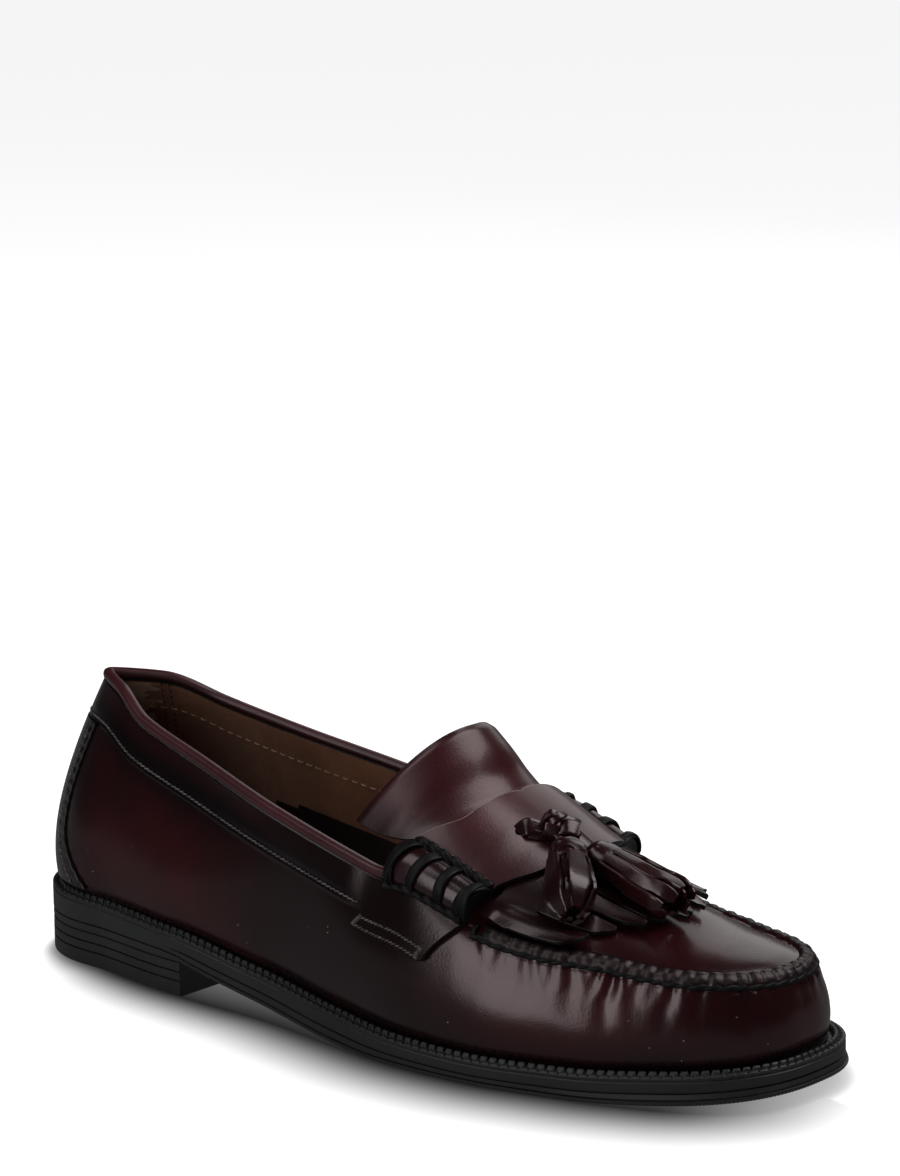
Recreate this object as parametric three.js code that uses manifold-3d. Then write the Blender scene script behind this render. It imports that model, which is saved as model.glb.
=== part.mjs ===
// A kiltie loafer with tassels, for the right foot.
// Millimetres. +X points to the toe, +Y to the inner side of the foot, +Z up.
// The shoe is worked out with x = 0 at the back of the heel and z = 0 on the floor,
// and the whole group is moved at the end so that its origin is the middle of the heel's bottom.

import * as THREE from "three";
import { mergeVertices } from "three/addons/utils/BufferGeometryUtils.js";
import Module from "manifold-3d";

const wasm = await Module();
wasm.setup();

// Driving sizes
const soleLength = 304;
const ballWidth = 100.6;
const heelHeight = 11.4;
const heelBreast = 82.7;
const soleThickness = 9;
const toeSpring = 5.7;
const weltThickness = 2.6;
const weltLip = 0.6;
const weltLipWidth = 2.2;
const insoleThickness = 3;
const wall = 2;
const collarHeight = 92.5;
const collarLean = 14.5;
const toeInset = 11;
const instepRise = 24.5;
const clearance = 0.3;
const grooveDepth = 0.7;
const grooveHeight = 0.7;
const toeFlare = 0.9;
const waistBack = 12;
const waistFront = 4;
const bandWidth = 13;
const bandRelief = 0.9;
const seamWidth = 4.8;
const seamRelief = 2.2;
const reliefStep = 0.7;
const bindingWidth = 4;
const bindingHeight = 3.6;
const backstayThickness = 0.9;
const backstayGap = 0.8;
const tongueThickness = 1.6;
const kiltieThickness = 1.5;
const strapThickness = 1.8;
const rollHeight = 5.6;
const thongThickness = 1.5;
const thongWidth = 2.6;
const tasselRadius = 6.5;
const knotSize = 3.4;
const knotRise = 1.4;

// Places along the shoe, as shares of the sole's length
const ballStart = 0.56;
const ballEnd = 0.78;
const throatAt = 0.612;
const bandEnd = 0.545;
const bandFade = 0.03;
const bindingEnd = 0.567;
const seamStart = 0.68;
const seamFade = 0.02;
const flareStart = 0.75;
const flareEnd = 0.97;

// Sole sections: place along the sole, half width and sideways shift as shares of the ball width,
// height of the sole's top with the welt as a share of the sole's thickness at the ball
const soleRows = [
  { at: 0.0, half: 0.32, shift: 0.0, top: 2.72 },
  { at: 0.12, half: 0.336, shift: 0.002, top: 2.597 },
  { at: 0.25, half: 0.364, shift: -0.026, top: 2.427 },
  { at: 0.38, half: 0.37, shift: -0.037, top: 1.797 },
  { at: 0.5, half: 0.42, shift: -0.043, top: 1.332 },
  { at: 0.6, half: 0.477, shift: -0.031, top: 1.08 },
  { at: 0.7, half: 0.5, shift: 0.0, top: 1.0 },
  { at: 0.8, half: 0.467, shift: 0.029, top: 1.045 },
  { at: 0.9, half: 0.439, shift: 0.06, top: 1.278 },
  { at: 1.0, half: 0.411, shift: 0.04, top: 1.689 },
];
const heelRound = { length: 34, power: 2.2 };
const toeRound = { length: 70, power: 2.48 };

// Top line of the wall: collar edge back to throat, then the moccasin seam round to the toe.
// Half width and shift are shares of the ball width, height is a share of the collar height.
const topRows = [
  { at: 0.048, half: 0.078, shift: 0.0, height: 1.0 },
  { at: 0.1, half: 0.135, shift: 0.0, height: 0.989 },
  { at: 0.165, half: 0.198, shift: 0.0, height: 0.912 },
  { at: 0.263, half: 0.254, shift: 0.0, height: 0.834 },
  { at: 0.395, half: 0.335, shift: 0.0, height: 0.738 },
  { at: 0.56, half: 0.392, shift: 0.0, height: 0.624 },
  { at: 0.612, half: 0.392, shift: 0.0, height: 0.573 },
  { at: 0.66, half: 0.385, shift: 0.0, height: 0.515 },
  { at: 0.69, half: 0.378, shift: 0.003, height: 0.48 },
  { at: 0.725, half: 0.364, shift: 0.01, height: 0.454 },
  { at: 0.76, half: 0.348, shift: 0.018, height: 0.44 },
  { at: 0.82, half: 0.302, shift: 0.028, height: 0.427 },
  { at: 0.88, half: 0.279, shift: 0.036, height: 0.411 },
  { at: 0.97, half: 0.279, shift: 0.055, height: 0.402 },
];
const collarRound = { length: 36, power: 2 };
const seamRound = { length: 40, power: 2.2 };

// Crown of the vamp over the seam, as a share of its rise at the throat
const crownRows = [
  { at: 0.5, crown: 1.1 },
  { at: 0.612, crown: 1.0 },
  { at: 0.66, crown: 0.927 },
  { at: 0.707, crown: 0.81 },
  { at: 0.757, crown: 0.63 },
  { at: 0.806, crown: 0.42 },
  { at: 0.855, crown: 0.278 },
  { at: 0.905, crown: 0.2 },
  { at: 0.94, crown: 0.14 },
  { at: 0.97, crown: 0.0 },
];
const crownPower = 2.2;

// Side wall: how far its lower and upper curve stand out, and over what height they turn,
// as shares of the wall's height there
const wallRows = [
  { at: 0.0, lowOut: 0.05, lowUp: 0.36, highOut: 0.17, highDown: 0.3 },
  { at: 0.12, lowOut: 0.1, lowUp: 0.34, highOut: 0.1, highDown: 0.27 },
  { at: 0.3, lowOut: 0.12, lowUp: 0.33, highOut: 0.05, highDown: 0.25 },
  { at: 0.55, lowOut: 0.12, lowUp: 0.33, highOut: 0.08, highDown: 0.2 },
  { at: 0.7, lowOut: 0.13, lowUp: 0.33, highOut: 0.18, highDown: 0.1 },
  { at: 1.0, lowOut: 0.12, lowUp: 0.37, highOut: 0.2, highDown: 0.1 },
];

// Reach of the welt past the upper, in the ball width's shares
const weltRows = [
  { at: 0.0, reach: 0.03 },
  { at: 0.25, reach: 0.04 },
  { at: 0.7, reach: 0.046 },
  { at: 1.0, reach: 0.056 },
];

// Saddle strap: rear and front edge along the shoe, for places across it.
// Across 0 is the middle, 1 the seam, and past 1 the strap goes down the side wall.
const strapRows = [
  { across: 0.0, rear: 0.63, front: 0.728 },
  { across: 0.5, rear: 0.62, front: 0.71 },
  { across: 0.8, rear: 0.586, front: 0.68 },
  { across: 0.92, rear: 0.578, front: 0.672 },
  { across: 1.03, rear: 0.574, front: 0.67 },
  { across: 1.45, rear: 0.53, front: 0.635 },
];
const tabRear = 1.42;
const tabFront = 1.5;
// Where the strap leaves the tongue's layer, and the part of the shoe's length that a roll spans
const rollFoot = 0.76;
const rollSpan = 0.11;

// Tongue past the strap: middle and edge of each row, in shares of sole length, ball width and collar height,
// and how squarely it rounds over
const tongueRows = [
  { midX: 0.627, midZ: 0.843, edgeX: 0.59, edgeY: 0.312, edgeZ: 0.727, round: 2.3 },
  { midX: 0.613, midZ: 0.892, edgeX: 0.566, edgeY: 0.328, edgeZ: 0.718, round: 2.7 },
  { midX: 0.6, midZ: 0.96, edgeX: 0.54, edgeY: 0.336, edgeZ: 0.722, round: 2.6 },
  { midX: 0.576, midZ: 1.052, edgeX: 0.506, edgeY: 0.333, edgeZ: 0.752, round: 2.3 },
];
const tongueRoot = 0.682;
const tongueHalf = 0.72;
const tongueRear = { middle: 0.625, edge: 0.594, power: 1.7 };
const tongueBend = 1.75;

// Backstay: how far along the sole its edge lies, as a share of the sole's length, from the sole up
const backstayRows = [
  { up: 0.0, edge: 0.105 },
  { up: 0.35, edge: 0.058 },
  { up: 1.0, edge: 0.04 },
];

// Room left at its two ends, as shares of the wall's height
const backstayEnds = { low: 0.05, high: 0.02 };

// Kiltie fringe
const fringeCount = 10;
const kiltieRoot = 0.69;
const kiltieRootHalf = 0.93;
// The root lies further back at the sides, where it starts in front of the rolls
const kiltieRootBack = 0.012;
const kiltieBackStart = 0.75;
const kiltieTipHalf = 1.02;
const fringeTip = 0.846;
const fringeSweep = 0.073;
const slitStart = 0.36;
const ridgeStart = 0.78;
const ridgeFull = 0.88;
// Share of the way from root to tip over which the kiltie climbs on to the seam
const climbStart = -0.05;
const climbEnd = 0.2;
const fringeLift = 1.4;
// Fingers: place from root to tip, and how much of their width is cut away on each side
const fringeRows = [
  { at: 0.45, cut: 0.03 },
  { at: 0.7, cut: 0.06 },
  { at: 0.92, cut: 0.1 },
  { at: 1.0, cut: 0.3 },
];

// Tassels and knot: place along the shoe, sideways place as a share of the ball width,
// and height over the vamp as a share of the tassel's radius
const tassels = [
  {
    name: "tassel_lateral",
    neck: { at: 0.72, side: -0.108, rise: 1.5 },
    end: { at: 0.783, side: -0.293, rise: 2.0 },
  },
  {
    name: "tassel_medial",
    neck: { at: 0.735, side: -0.025, rise: 1.2 },
    end: { at: 0.848, side: -0.03, rise: 1.5 },
  },
];
const tasselRows = [
  { at: 0.0, radius: 0.34, lobe: 0.0 },
  { at: 0.1, radius: 0.5, lobe: 0.0 },
  { at: 0.24, radius: 0.82, lobe: 0.0 },
  { at: 0.4, radius: 0.88, lobe: 0.0 },
  { at: 0.43, radius: 0.78, lobe: 0.03 },
  { at: 0.62, radius: 0.9, lobe: 0.09 },
  { at: 0.86, radius: 1.0, lobe: 0.11 },
  { at: 1.0, radius: 0.93, lobe: 0.12 },
];
const tasselHollow = { radius: 0.45, depth: 0.14 };
const tasselLobes = 8;
const knot = { at: 0.7, side: -0.075 };

// Mesh density
const backStations = 16;
const frontStations = 16;
const meshTolerance = 0.02;

const clamp = (value, low, high) => Math.min(Math.max(value, low), high);
const mix = (a, b, t) => a + (b - a) * t;

function smoothStep(low, high, value) {
  const t = clamp((value - low) / (high - low), 0, 1);
  return t * t * (3 - 2 * t);
}

// A smooth curve through one column of a table that keeps each rise or fall between its rows.
function column(rows, key, value, name) {
  const last = rows.length - 1;
  const v = clamp(value, rows[0][key], rows[last][key]);
  let i = 0;
  while (i < last - 1 && v > rows[i + 1][key]) i += 1;
  const slope = (j) => (rows[j + 1][name] - rows[j][name]) / (rows[j + 1][key] - rows[j][key]);
  const tangent = (j) => {
    if (j === 0) return slope(0);
    if (j === last) return slope(last - 1);
    const before = slope(j - 1);
    const after = slope(j);
    return before * after <= 0 ? 0 : (2 * before * after) / (before + after);
  };
  const step = rows[i + 1][key] - rows[i][key];
  const t = (v - rows[i][key]) / step;
  const rise = rows[i + 1][name] - rows[i][name];
  const startBend = step * tangent(i);
  const endBend = step * tangent(i + 1);
  const cubic = startBend + endBend - 2 * rise;
  const square = 3 * rise - 2 * startBend - endBend;
  return rows[i][name] + t * (startBend + t * (square + t * cubic));
}

const along = (rows, x, name) => column(rows, "at", x / soleLength, name);

// Rounds the width off towards one end.
function roundOff(distance, round) {
  const t = clamp(1 - distance / round.length, 0, 1);
  return Math.pow(1 - Math.pow(t, round.power), 1 / round.power);
}

// Height of the sole's underside over the floor.
function underside(x) {
  const share = x / soleLength;
  const breast = heelBreast / soleLength;
  if (share <= breast) return heelHeight;
  if (share < ballStart) return heelHeight * Math.pow((ballStart - share) / (ballStart - breast), 1.6);
  if (share <= ballEnd) return 0;
  return toeSpring * Math.pow((share - ballEnd) / (1 - ballEnd), 2);
}

const weltTop = (x) => soleThickness * along(soleRows, x, "top");
const bedTop = (x) => weltTop(x) - weltThickness;

// A ring runs from the toe back along the outer side, round the heel and forward along the inner side:
// q = -1 and 1 are the toe, q = 0 is the heel.
const wrap = (q) => (q > 1 ? q - 2 : q < -1 ? q + 2 : q);
const sideOf = (q) => (q < 0 ? -1 : 1);
const reachOf = (q) => (1 - Math.cos(Math.PI * Math.abs(q))) / 2;

const breastPlace = Math.acos(1 - (2 * heelBreast) / soleLength) / Math.PI;

function soleOutline(ringPlace) {
  const q = wrap(ringPlace);
  const x = soleLength * reachOf(q);
  const caps = roundOff(x, heelRound) * roundOff(soleLength - x, toeRound);
  const half = ballWidth * along(soleRows, x, "half") * caps;
  return new THREE.Vector3(x, ballWidth * along(soleRows, x, "shift") + sideOf(q) * half, 0);
}

// Outward direction in plan of a ring function.
function planNormal(ring, q) {
  const step = 0.004;
  const tangent = ring(q + step).sub(ring(q - step));
  return new THREE.Vector3(-tangent.y, tangent.x, 0).normalize();
}

function insetOutline(q, distance) {
  return soleOutline(q).addScaledVector(planNormal(soleOutline, q), -distance);
}

const weltReach = (q) => ballWidth * along(weltRows, soleOutline(q).x, "reach");

// The line where the upper's wall meets the sole.
function featherLine(q) {
  const point = insetOutline(q, weltReach(q));
  point.z = bedTop(point.x) + clearance;
  return point;
}

const topStart = collarLean;
const topEnd = soleLength - toeInset;
const topX = (p) => topStart + (topEnd - topStart) * reachOf(p);
const topPlace = (x) => Math.acos(clamp(1 - (2 * (x - topStart)) / (topEnd - topStart), -1, 1)) / Math.PI;

const halfTop = (x) =>
  ballWidth *
  along(topRows, x, "half") *
  roundOff(x - topStart, collarRound) *
  roundOff(topEnd - x, seamRound);

const collarShare = (x) => 1 - smoothStep(bandEnd, throatAt, x / soleLength);
const seamShare = (x) => smoothStep(seamStart, seamStart + seamFade, x / soleLength);

// Top edge of the wall. Along the collar it stays below the binding that caps it.
function topLine(ringPlace) {
  const q = wrap(ringPlace);
  const x = topX(q);
  const y = ballWidth * along(topRows, x, "shift") + sideOf(q) * halfTop(x);
  const z = collarHeight * along(topRows, x, "height") - (bindingHeight + clearance) * collarShare(x);
  return new THREE.Vector3(x, y, z);
}

// Side wall of the last: v = 0 just above the welt, v = 1 at the top line.
function wallPoint(ringPlace, v) {
  const q = wrap(ringPlace);
  const low = featherLine(q);
  low.z += weltThickness;
  const high = topLine(q);
  const height = high.z - low.z;
  const out = planNormal(soleOutline, q);
  const share = (name) => height * along(wallRows, low.x, name);
  const second = low.clone().addScaledVector(out, share("lowOut"));
  second.z += share("lowUp");
  const third = high.clone().addScaledVector(out, share("highOut"));
  third.z -= share("highDown");
  return new THREE.CubicBezierCurve3(low, second, third, high).getPoint(v);
}

// Vamp between the two seams: w = -1 at the outer seam, w = 1 at the inner one.
function vampPoint(p, w) {
  const outer = topLine(-p);
  const inner = topLine(p);
  const point = outer.clone().lerp(inner, (w + 1) / 2);
  point.z += instepRise * along(crownRows, point.x, "crown") * (1 - Math.pow(Math.abs(w), crownPower));
  return point;
}

// The last's surface across the shoe: |k| <= 1 is the vamp, |k| from 1 to 2 goes down the wall.
function lastPoint(p, k) {
  if (Math.abs(k) <= 1) return vampPoint(p, k);
  return wallPoint(Math.sign(k) * p, 2 - Math.abs(k));
}

function faceNormal(p, k) {
  const step = 0.006;
  const wallLimits = () => [1, 2].map((edge) => edge * Math.sign(k)).sort((a, b) => a - b);
  const limit = Math.abs(k) <= 1 ? [-1, 1] : wallLimits();
  const before = clamp(k - step, limit[0], limit[1]);
  const after = clamp(k + step, limit[0], limit[1]);
  const acrossShoe = lastPoint(p, after).sub(lastPoint(p, before));
  const alongShoe = lastPoint(p + step, k).sub(lastPoint(p - step, k));
  return alongShoe.cross(acrossShoe).normalize();
}

// Outward direction, turned smoothly over the corner at the seam.
const cornerTurn = 0.12;
function lastNormal(p, k) {
  const side = Math.sign(k) || 1;
  const size = Math.abs(k);
  if (Math.abs(size - 1) >= cornerTurn) return faceNormal(p, k);
  const t = (size - 1 + cornerTurn) / (2 * cornerTurn);
  const vampSide = faceNormal(p, side * Math.min(size, 1 - 1e-6));
  const wallSide = faceNormal(p, side * Math.max(size, 1 + 1e-6));
  return vampSide.lerp(wallSide, t).normalize();
}

const raised = (p, k, height) => lastPoint(p, k).addScaledVector(lastNormal(p, k), height);

// Height of the vamp's surface under a place given in x and y.
function vampHeight(x, y) {
  const p = topPlace(x);
  const middle = (topLine(-p).y + topLine(p).y) / 2;
  return vampPoint(p, clamp((y - middle) / halfTop(x), -1, 1)).z;
}

// Makes a closed body from points and faces of three or four corners.
function closedBody(points, faces) {
  const corners = [];
  for (const face of faces) {
    for (let i = 2; i < face.length; i += 1) corners.push(face[0], face[i - 1], face[i]);
  }
  const raw = new THREE.BufferGeometry();
  const flat = points.flatMap((point) => [point.x, point.y, point.z]);
  raw.setAttribute("position", new THREE.Float32BufferAttribute(flat, 3));
  raw.setIndex(corners);
  const merged = mergeVertices(raw, 1e-3);
  const index = Array.from(merged.index.array);
  const kept = [];
  for (let i = 0; i < index.length; i += 3) {
    const [a, b, c] = index.slice(i, i + 3);
    if (a !== b && b !== c && c !== a) kept.push(a, b, c);
  }
  const place = merged.attributes.position;
  const at = (i) => new THREE.Vector3().fromBufferAttribute(place, i);
  let volume = 0;
  for (let i = 0; i < kept.length; i += 3) {
    volume += at(kept[i]).dot(at(kept[i + 1]).cross(at(kept[i + 2])));
  }
  if (volume < 0) kept.reverse();
  const body = new THREE.BufferGeometry();
  body.setAttribute("position", place.clone());
  body.setIndex(kept);
  return body;
}

// Closes two skins that share their faces into one solid, with walls along every open edge.
function closedSkin(outer, inner, faces) {
  const count = outer.length;
  const open = new Map();
  for (const face of faces) {
    face.forEach((a, i) => {
      const b = face[(i + 1) % face.length];
      if (open.has(b + "," + a)) open.delete(b + "," + a);
      else open.set(a + "," + b, [a, b]);
    });
  }
  const back = faces.map((face) => face.map((i) => i + count).reverse());
  const edges = [...open.values()].map(([a, b]) => [b, a, a + count, b + count]);
  return closedBody([...outer, ...inner], [...faces, ...back, ...edges]);
}

// A slab over a grid: point(u, v, 0) is its lower skin and point(u, v, 1) its upper one.
function slab(us, vs, point) {
  const columns = vs.length;
  const skin = (side) => us.flatMap((u) => vs.map((v) => point(u, v, side)));
  const faces = [];
  for (let i = 0; i + 1 < us.length; i += 1) {
    for (let j = 0; j + 1 < columns; j += 1) {
      const a = i * columns + j;
      faces.push([a, a + columns, a + columns + 1, a + 1]);
    }
  }
  return closedSkin(skin(1), skin(0), faces);
}

// Joins rings of equal length into a tube. A closed tube meets itself, an open one gets flat ends.
function tube(rings, closed) {
  const size = rings[0].length;
  const faces = [];
  const joins = closed ? rings.length : rings.length - 1;
  for (let i = 0; i < joins; i += 1) {
    const next = (i + 1) % rings.length;
    for (let j = 0; j < size; j += 1) {
      const k = (j + 1) % size;
      faces.push([i * size + j, next * size + j, next * size + k, i * size + k]);
    }
  }
  if (!closed) {
    const start = rings[0].map((point, j) => j);
    faces.push(start, start.map((j) => (rings.length - 1) * size + j).reverse());
  }
  return closedBody(rings.flat(), faces);
}

// A solid of stacked rings that each run from q = -1 to 1, with top and bottom closed by strips across.
function stackedRings(levels) {
  const size = levels[0].length;
  const faces = [];
  for (let i = 0; i + 1 < levels.length; i += 1) {
    for (let j = 0; j < size; j += 1) {
      const k = (j + 1) % size;
      faces.push([i * size + j, i * size + k, (i + 1) * size + k, (i + 1) * size + j]);
    }
  }
  const base = (levels.length - 1) * size;
  for (let j = 0; j < size / 2 - 1; j += 1) {
    const across = [j, j + 1, size - 2 - j, size - 1 - j];
    faces.push([...across].reverse());
    faces.push(across.map((i) => base + i));
  }
  return closedBody(levels.flat(), faces);
}

function toManifold(geometry) {
  return new wasm.Manifold(
    new wasm.Mesh({
      numProp: 3,
      vertProperties: new Float32Array(geometry.attributes.position.array),
      triVerts: new Uint32Array(geometry.index.array),
    }),
  );
}

function joined(geometries) {
  const mesh = geometries
    .map(toManifold)
    .reduce((whole, piece) => whole.add(piece))
    .simplify(meshTolerance)
    .getMesh();
  const geometry = new THREE.BufferGeometry();
  geometry.setAttribute("position", new THREE.BufferAttribute(mesh.vertProperties, mesh.numProp));
  geometry.setIndex(new THREE.BufferAttribute(mesh.triVerts, 1));
  return geometry;
}

function range(count, low, high) {
  return Array.from({ length: count + 1 }, (none, i) => mix(low, high, i / count));
}

const throatPlace = topPlace(throatAt * soleLength);
const sidePlaces = [
  ...range(backStations, 0, throatPlace),
  ...range(frontStations, throatPlace, 1).slice(1),
];
// Places of a whole ring, without a second copy of the toe
const ringPlaces = [...sidePlaces.slice(1).map((p) => -p).reverse(), ...sidePlaces.slice(0, -1)];

// Outsole: side band, two grooves round it, an edge that flares at the toe, arch and toe spring below
const sideGroove = 0.52;
const edgeGroove = 3;
const edgeGrooveFront = 1.7;
const edgeBevel = 0.8;
const bevelRise = 0.48;
const flareTop = 0.6;

function outsole() {
  const around = range(2 * (backStations + frontStations), -1, 1);
  const places = [...around, -breastPlace, breastPlace].sort((a, b) => a - b);
  const level = (height, inset) =>
    places.map((q) => {
      const x = soleOutline(q).x;
      const point = insetOutline(q, inset(x));
      point.z = height(x);
      return point;
    });
  const flare = (x) => -toeFlare * smoothStep(flareStart, flareEnd, x / soleLength);
  const noInset = () => 0;
  const waist = (x) => smoothStep(heelBreast - waistBack, heelBreast + waistFront, x);
  const middle = (x) => mix(underside(x), bedTop(x), sideGroove);
  const middleInset = (x) => grooveDepth * waist(x);
  const lower = (x) => underside(x) + mix(edgeGroove, edgeGrooveFront, waist(x));
  const lowerInset = (x) => flare(x) + grooveDepth;
  const half = grooveHeight / 2;
  return stackedRings([
    level(bedTop, noInset),
    level((x) => middle(x) + half, noInset),
    level(middle, middleInset),
    level((x) => middle(x) - half, noInset),
    level((x) => lower(x) + half, (x) => flare(x) * flareTop),
    level(lower, lowerInset),
    level((x) => lower(x) - half, flare),
    level((x) => underside(x) + bevelRise, flare),
    level(underside, (x) => flare(x) + edgeBevel),
  ]);
}

// Heel block: stacked lifts with a groove between them and a straight breast
const lifts = [0.456, 0.728];

function heel() {
  const places = range(26, -breastPlace, breastPlace);
  const top = heelHeight - clearance;
  const half = grooveHeight / 2;
  const grooves = lifts.map((share) => share * heelHeight).reverse();
  const heights = [
    [top, 0],
    ...grooves.flatMap((z) => [
      [z + half, 0],
      [z, grooveDepth],
      [z - half, 0],
    ]),
    [bevelRise, 0],
    [0, bevelRise],
  ];
  return stackedRings(
    heights.map(([z, inset]) =>
      places.map((q) => {
        const point = insetOutline(q, inset);
        point.x = Math.min(point.x, heelBreast);
        point.z = z;
        return point;
      }),
    ),
  );
}

// Welt: a strip round the whole shoe with a raised lip at its outer edge
function welt() {
  const corner = 0.6 * weltLip;
  return tube(
    ringPlaces.map((q) => {
      const reach = weltReach(q) - clearance;
      const shape = [
        [0, clearance],
        [0, weltThickness - weltLip],
        [corner, weltThickness],
        [weltLipWidth - corner, weltThickness],
        [weltLipWidth, weltThickness - weltLip],
        [reach, weltThickness - weltLip],
        [reach, clearance],
      ];
      return shape.map(([inset, rise]) => {
        const point = insetOutline(q, inset);
        point.z = bedTop(point.x) + rise;
        return point;
      });
    }),
    true,
  );
}

function insole() {
  const places = range(2 * (backStations + frontStations), -1, 1);
  const level = (rise) =>
    places.map((q) => {
      const point = insetOutline(q, weltReach(q) + wall + 2 * clearance);
      point.z = bedTop(point.x) + rise;
      return point;
    });
  return stackedRings([level(clearance + insoleThickness), level(clearance)]);
}

// Upper: one hollow shell of wall and vamp, open at the collar, the throat and underneath.
// Each row of the wall is a distance below the top line, so that the band and the seam keep their width.
const lowerShares = [0, 0.13, 0.33, 0.55, 0.77, 1];

function wallRowsAt(q) {
  const x = topLine(q).x;
  const half = wallPoint(q, 0.5);
  const length = wallPoint(q, 1).distanceTo(half) + half.distanceTo(wallPoint(q, 0));
  const collar = collarShare(x);
  const width = mix(seamWidth / 2, bandWidth, collar);
  const band = 1 - smoothStep(bandEnd - bandFade, bandEnd, x / soleLength);
  const full = bandRelief * band + seamRelief * seamShare(x);
  const start = 1 - width / length;
  const step = reliefStep / length;
  return [
    ...lowerShares.map((share) => ({ v: share * (start - step), relief: 0 })),
    { v: start, relief: full },
    { v: mix(start, 1, 0.5), relief: full },
    { v: 1, relief: full },
  ];
}

function upper() {
  const base = [];
  const relief = [];
  const faces = [];
  const add = (point, height) => {
    base.push(point);
    relief.push(height);
    return base.length - 1;
  };
  // The foot of each column stands upright beside the welt.
  const wallColumns = ringPlaces.map((q) => [
    add(featherLine(q), 0),
    ...wallRowsAt(q).map((row) => add(wallPoint(q, row.v), row.relief)),
  ]);
  const around = ringPlaces.length;
  for (let i = 0; i < around; i += 1) {
    const here = wallColumns[i];
    const next = wallColumns[(i + 1) % around];
    for (let j = 0; j + 1 < here.length; j += 1) faces.push([here[j], here[j + 1], next[j + 1], next[j]]);
  }
  // Vamp rows share the seam's points with the wall. The two sides meet at the toe, where i = 0.
  const topOf = (i) => wallColumns[(i + around) % around].at(-1);
  const inside = [-0.72, -0.45, -0.16, 0.16, 0.45, 0.72];
  const rows = range(frontStations, 0, frontStations).map((i) => {
    const p = sidePlaces[sidePlaces.length - 1 - i];
    const x = topX(p);
    if (i === 0) return [topOf(0)];
    const full = seamRelief * seamShare(x);
    const edge = clamp(seamWidth / 2 / halfTop(x), 0, 0.2);
    const foot = edge + clamp(reliefStep / halfTop(x), 0, 0.06);
    const ridge = [
      [-1 + edge, full],
      [-1 + foot, 0],
      ...inside.map((w) => [w, 0]),
      [1 - foot, 0],
      [1 - edge, full],
    ];
    return [topOf(i), ...ridge.map(([w, height]) => add(vampPoint(p, w), height)), topOf(-i)];
  });
  for (let i = 0; i + 1 < rows.length; i += 1) {
    const here = rows[i];
    const next = rows[i + 1];
    for (let j = 0; j + 1 < next.length; j += 1) {
      if (here.length === 1) faces.push([here[0], next[j + 1], next[j]]);
      else faces.push([here[j], here[j + 1], next[j + 1], next[j]]);
    }
  }
  // Directions at the points, from the faces round them
  const normals = base.map(() => new THREE.Vector3());
  for (const face of faces) {
    const [a, b, c] = [face[0], face[1], face.at(-1)].map((i) => base[i]);
    const normal = b.clone().sub(a).cross(c.clone().sub(a));
    for (const i of face) normals[i].add(normal);
  }
  const middle = new THREE.Vector3(soleLength / 2, 0, 0);
  const probe = wallColumns[around >> 1][4];
  const outward = normals[probe].dot(base[probe].clone().sub(middle));
  normals.forEach((normal) => normal.normalize().multiplyScalar(Math.sign(outward)));
  for (const here of wallColumns) {
    for (const i of [here[0], here[1]]) normals[i].setZ(0).normalize();
  }
  const outer = base.map((point, i) => point.clone().addScaledVector(normals[i], relief[i]));
  const inner = base.map((point, i) => point.clone().addScaledVector(normals[i], -wall));
  return closedSkin(outer, inner, faces);
}

// Binding: a rolled edge along the collar, from one side of the throat round the heel to the other
function binding() {
  const end = topPlace(bindingEnd * soleLength);
  const places = range(34, -end, end);
  const corners = range(8, 0, 2 * Math.PI).slice(0, -1);
  return tube(
    places.map((q) => {
      const centre = topLine(q);
      const out = planNormal(topLine, q);
      centre.addScaledVector(out, -wall / 2);
      centre.z += clearance + bindingHeight / 2;
      return corners.map((angle) => {
        const point = centre.clone().addScaledVector(out, (bindingWidth / 2) * Math.cos(angle));
        point.z += (bindingHeight / 2) * Math.sin(angle);
        return point;
      });
    }),
    false,
  );
}

// Backstay: a strip up the back of the heel that widens towards the sole, up to the collar band
function backstay() {
  return slab(range(14, -1, 1), range(6, 0, 1), (share, t, side) => {
    const edge = column(backstayRows, "up", t, "edge");
    const q = (share * Math.acos(1 - 2 * edge)) / Math.PI;
    const top = wallRowsAt(q)[lowerShares.length - 1].v;
    const v = mix(backstayEnds.low, top - backstayEnds.high, t);
    const step = 0.004;
    const alongWall = wallPoint(q + step, v).sub(wallPoint(q - step, v));
    const upWall = wallPoint(q, v + step).sub(wallPoint(q, v - step));
    const out = alongWall.cross(upWall).normalize();
    if (out.x > 0) out.negate();
    return wallPoint(q, v).addScaledVector(out, backstayGap + side * backstayThickness);
  });
}

// Strap: a saddle over the instep, rolled over the seam on both sides, with a tab down each wall
const layer = clearance + tongueThickness + clearance;
const rollStart = 0.8;
const rollEnd = 1.03;
const rollShares = [0, 0.08, 0.27, 0.5, 0.73, 0.92, 1];
const rollPlaces = rollShares.map((share) => mix(rollStart, rollEnd, share));
const strapHalf = [0, 0.13, 0.27, 0.4, 0.52, 0.63, 0.72, rollFoot, ...rollPlaces, 1.12, 1.25];

const strapLow = (k) => mix(layer, clearance * 1.5, smoothStep(rollFoot, rollStart, Math.abs(k)));
function rollBulge(k) {
  const centre = (rollStart + rollEnd) / 2;
  const t = clamp(Math.abs(Math.abs(k) - centre) / ((rollEnd - rollStart) / 2), 0, 1);
  return rollHeight * Math.sqrt(1 - t * t);
}
const strapHigh = (k) => strapLow(k) + strapThickness + rollBulge(k);

function strapPlace(k, t) {
  const size = Math.abs(k);
  const edge = (name) => column(strapRows, "across", size, name);
  return topPlace(soleLength * mix(edge("rear"), edge("front"), t));
}
const strapPoint = (k, t, height) => raised(strapPlace(k, t), k, height);

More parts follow.
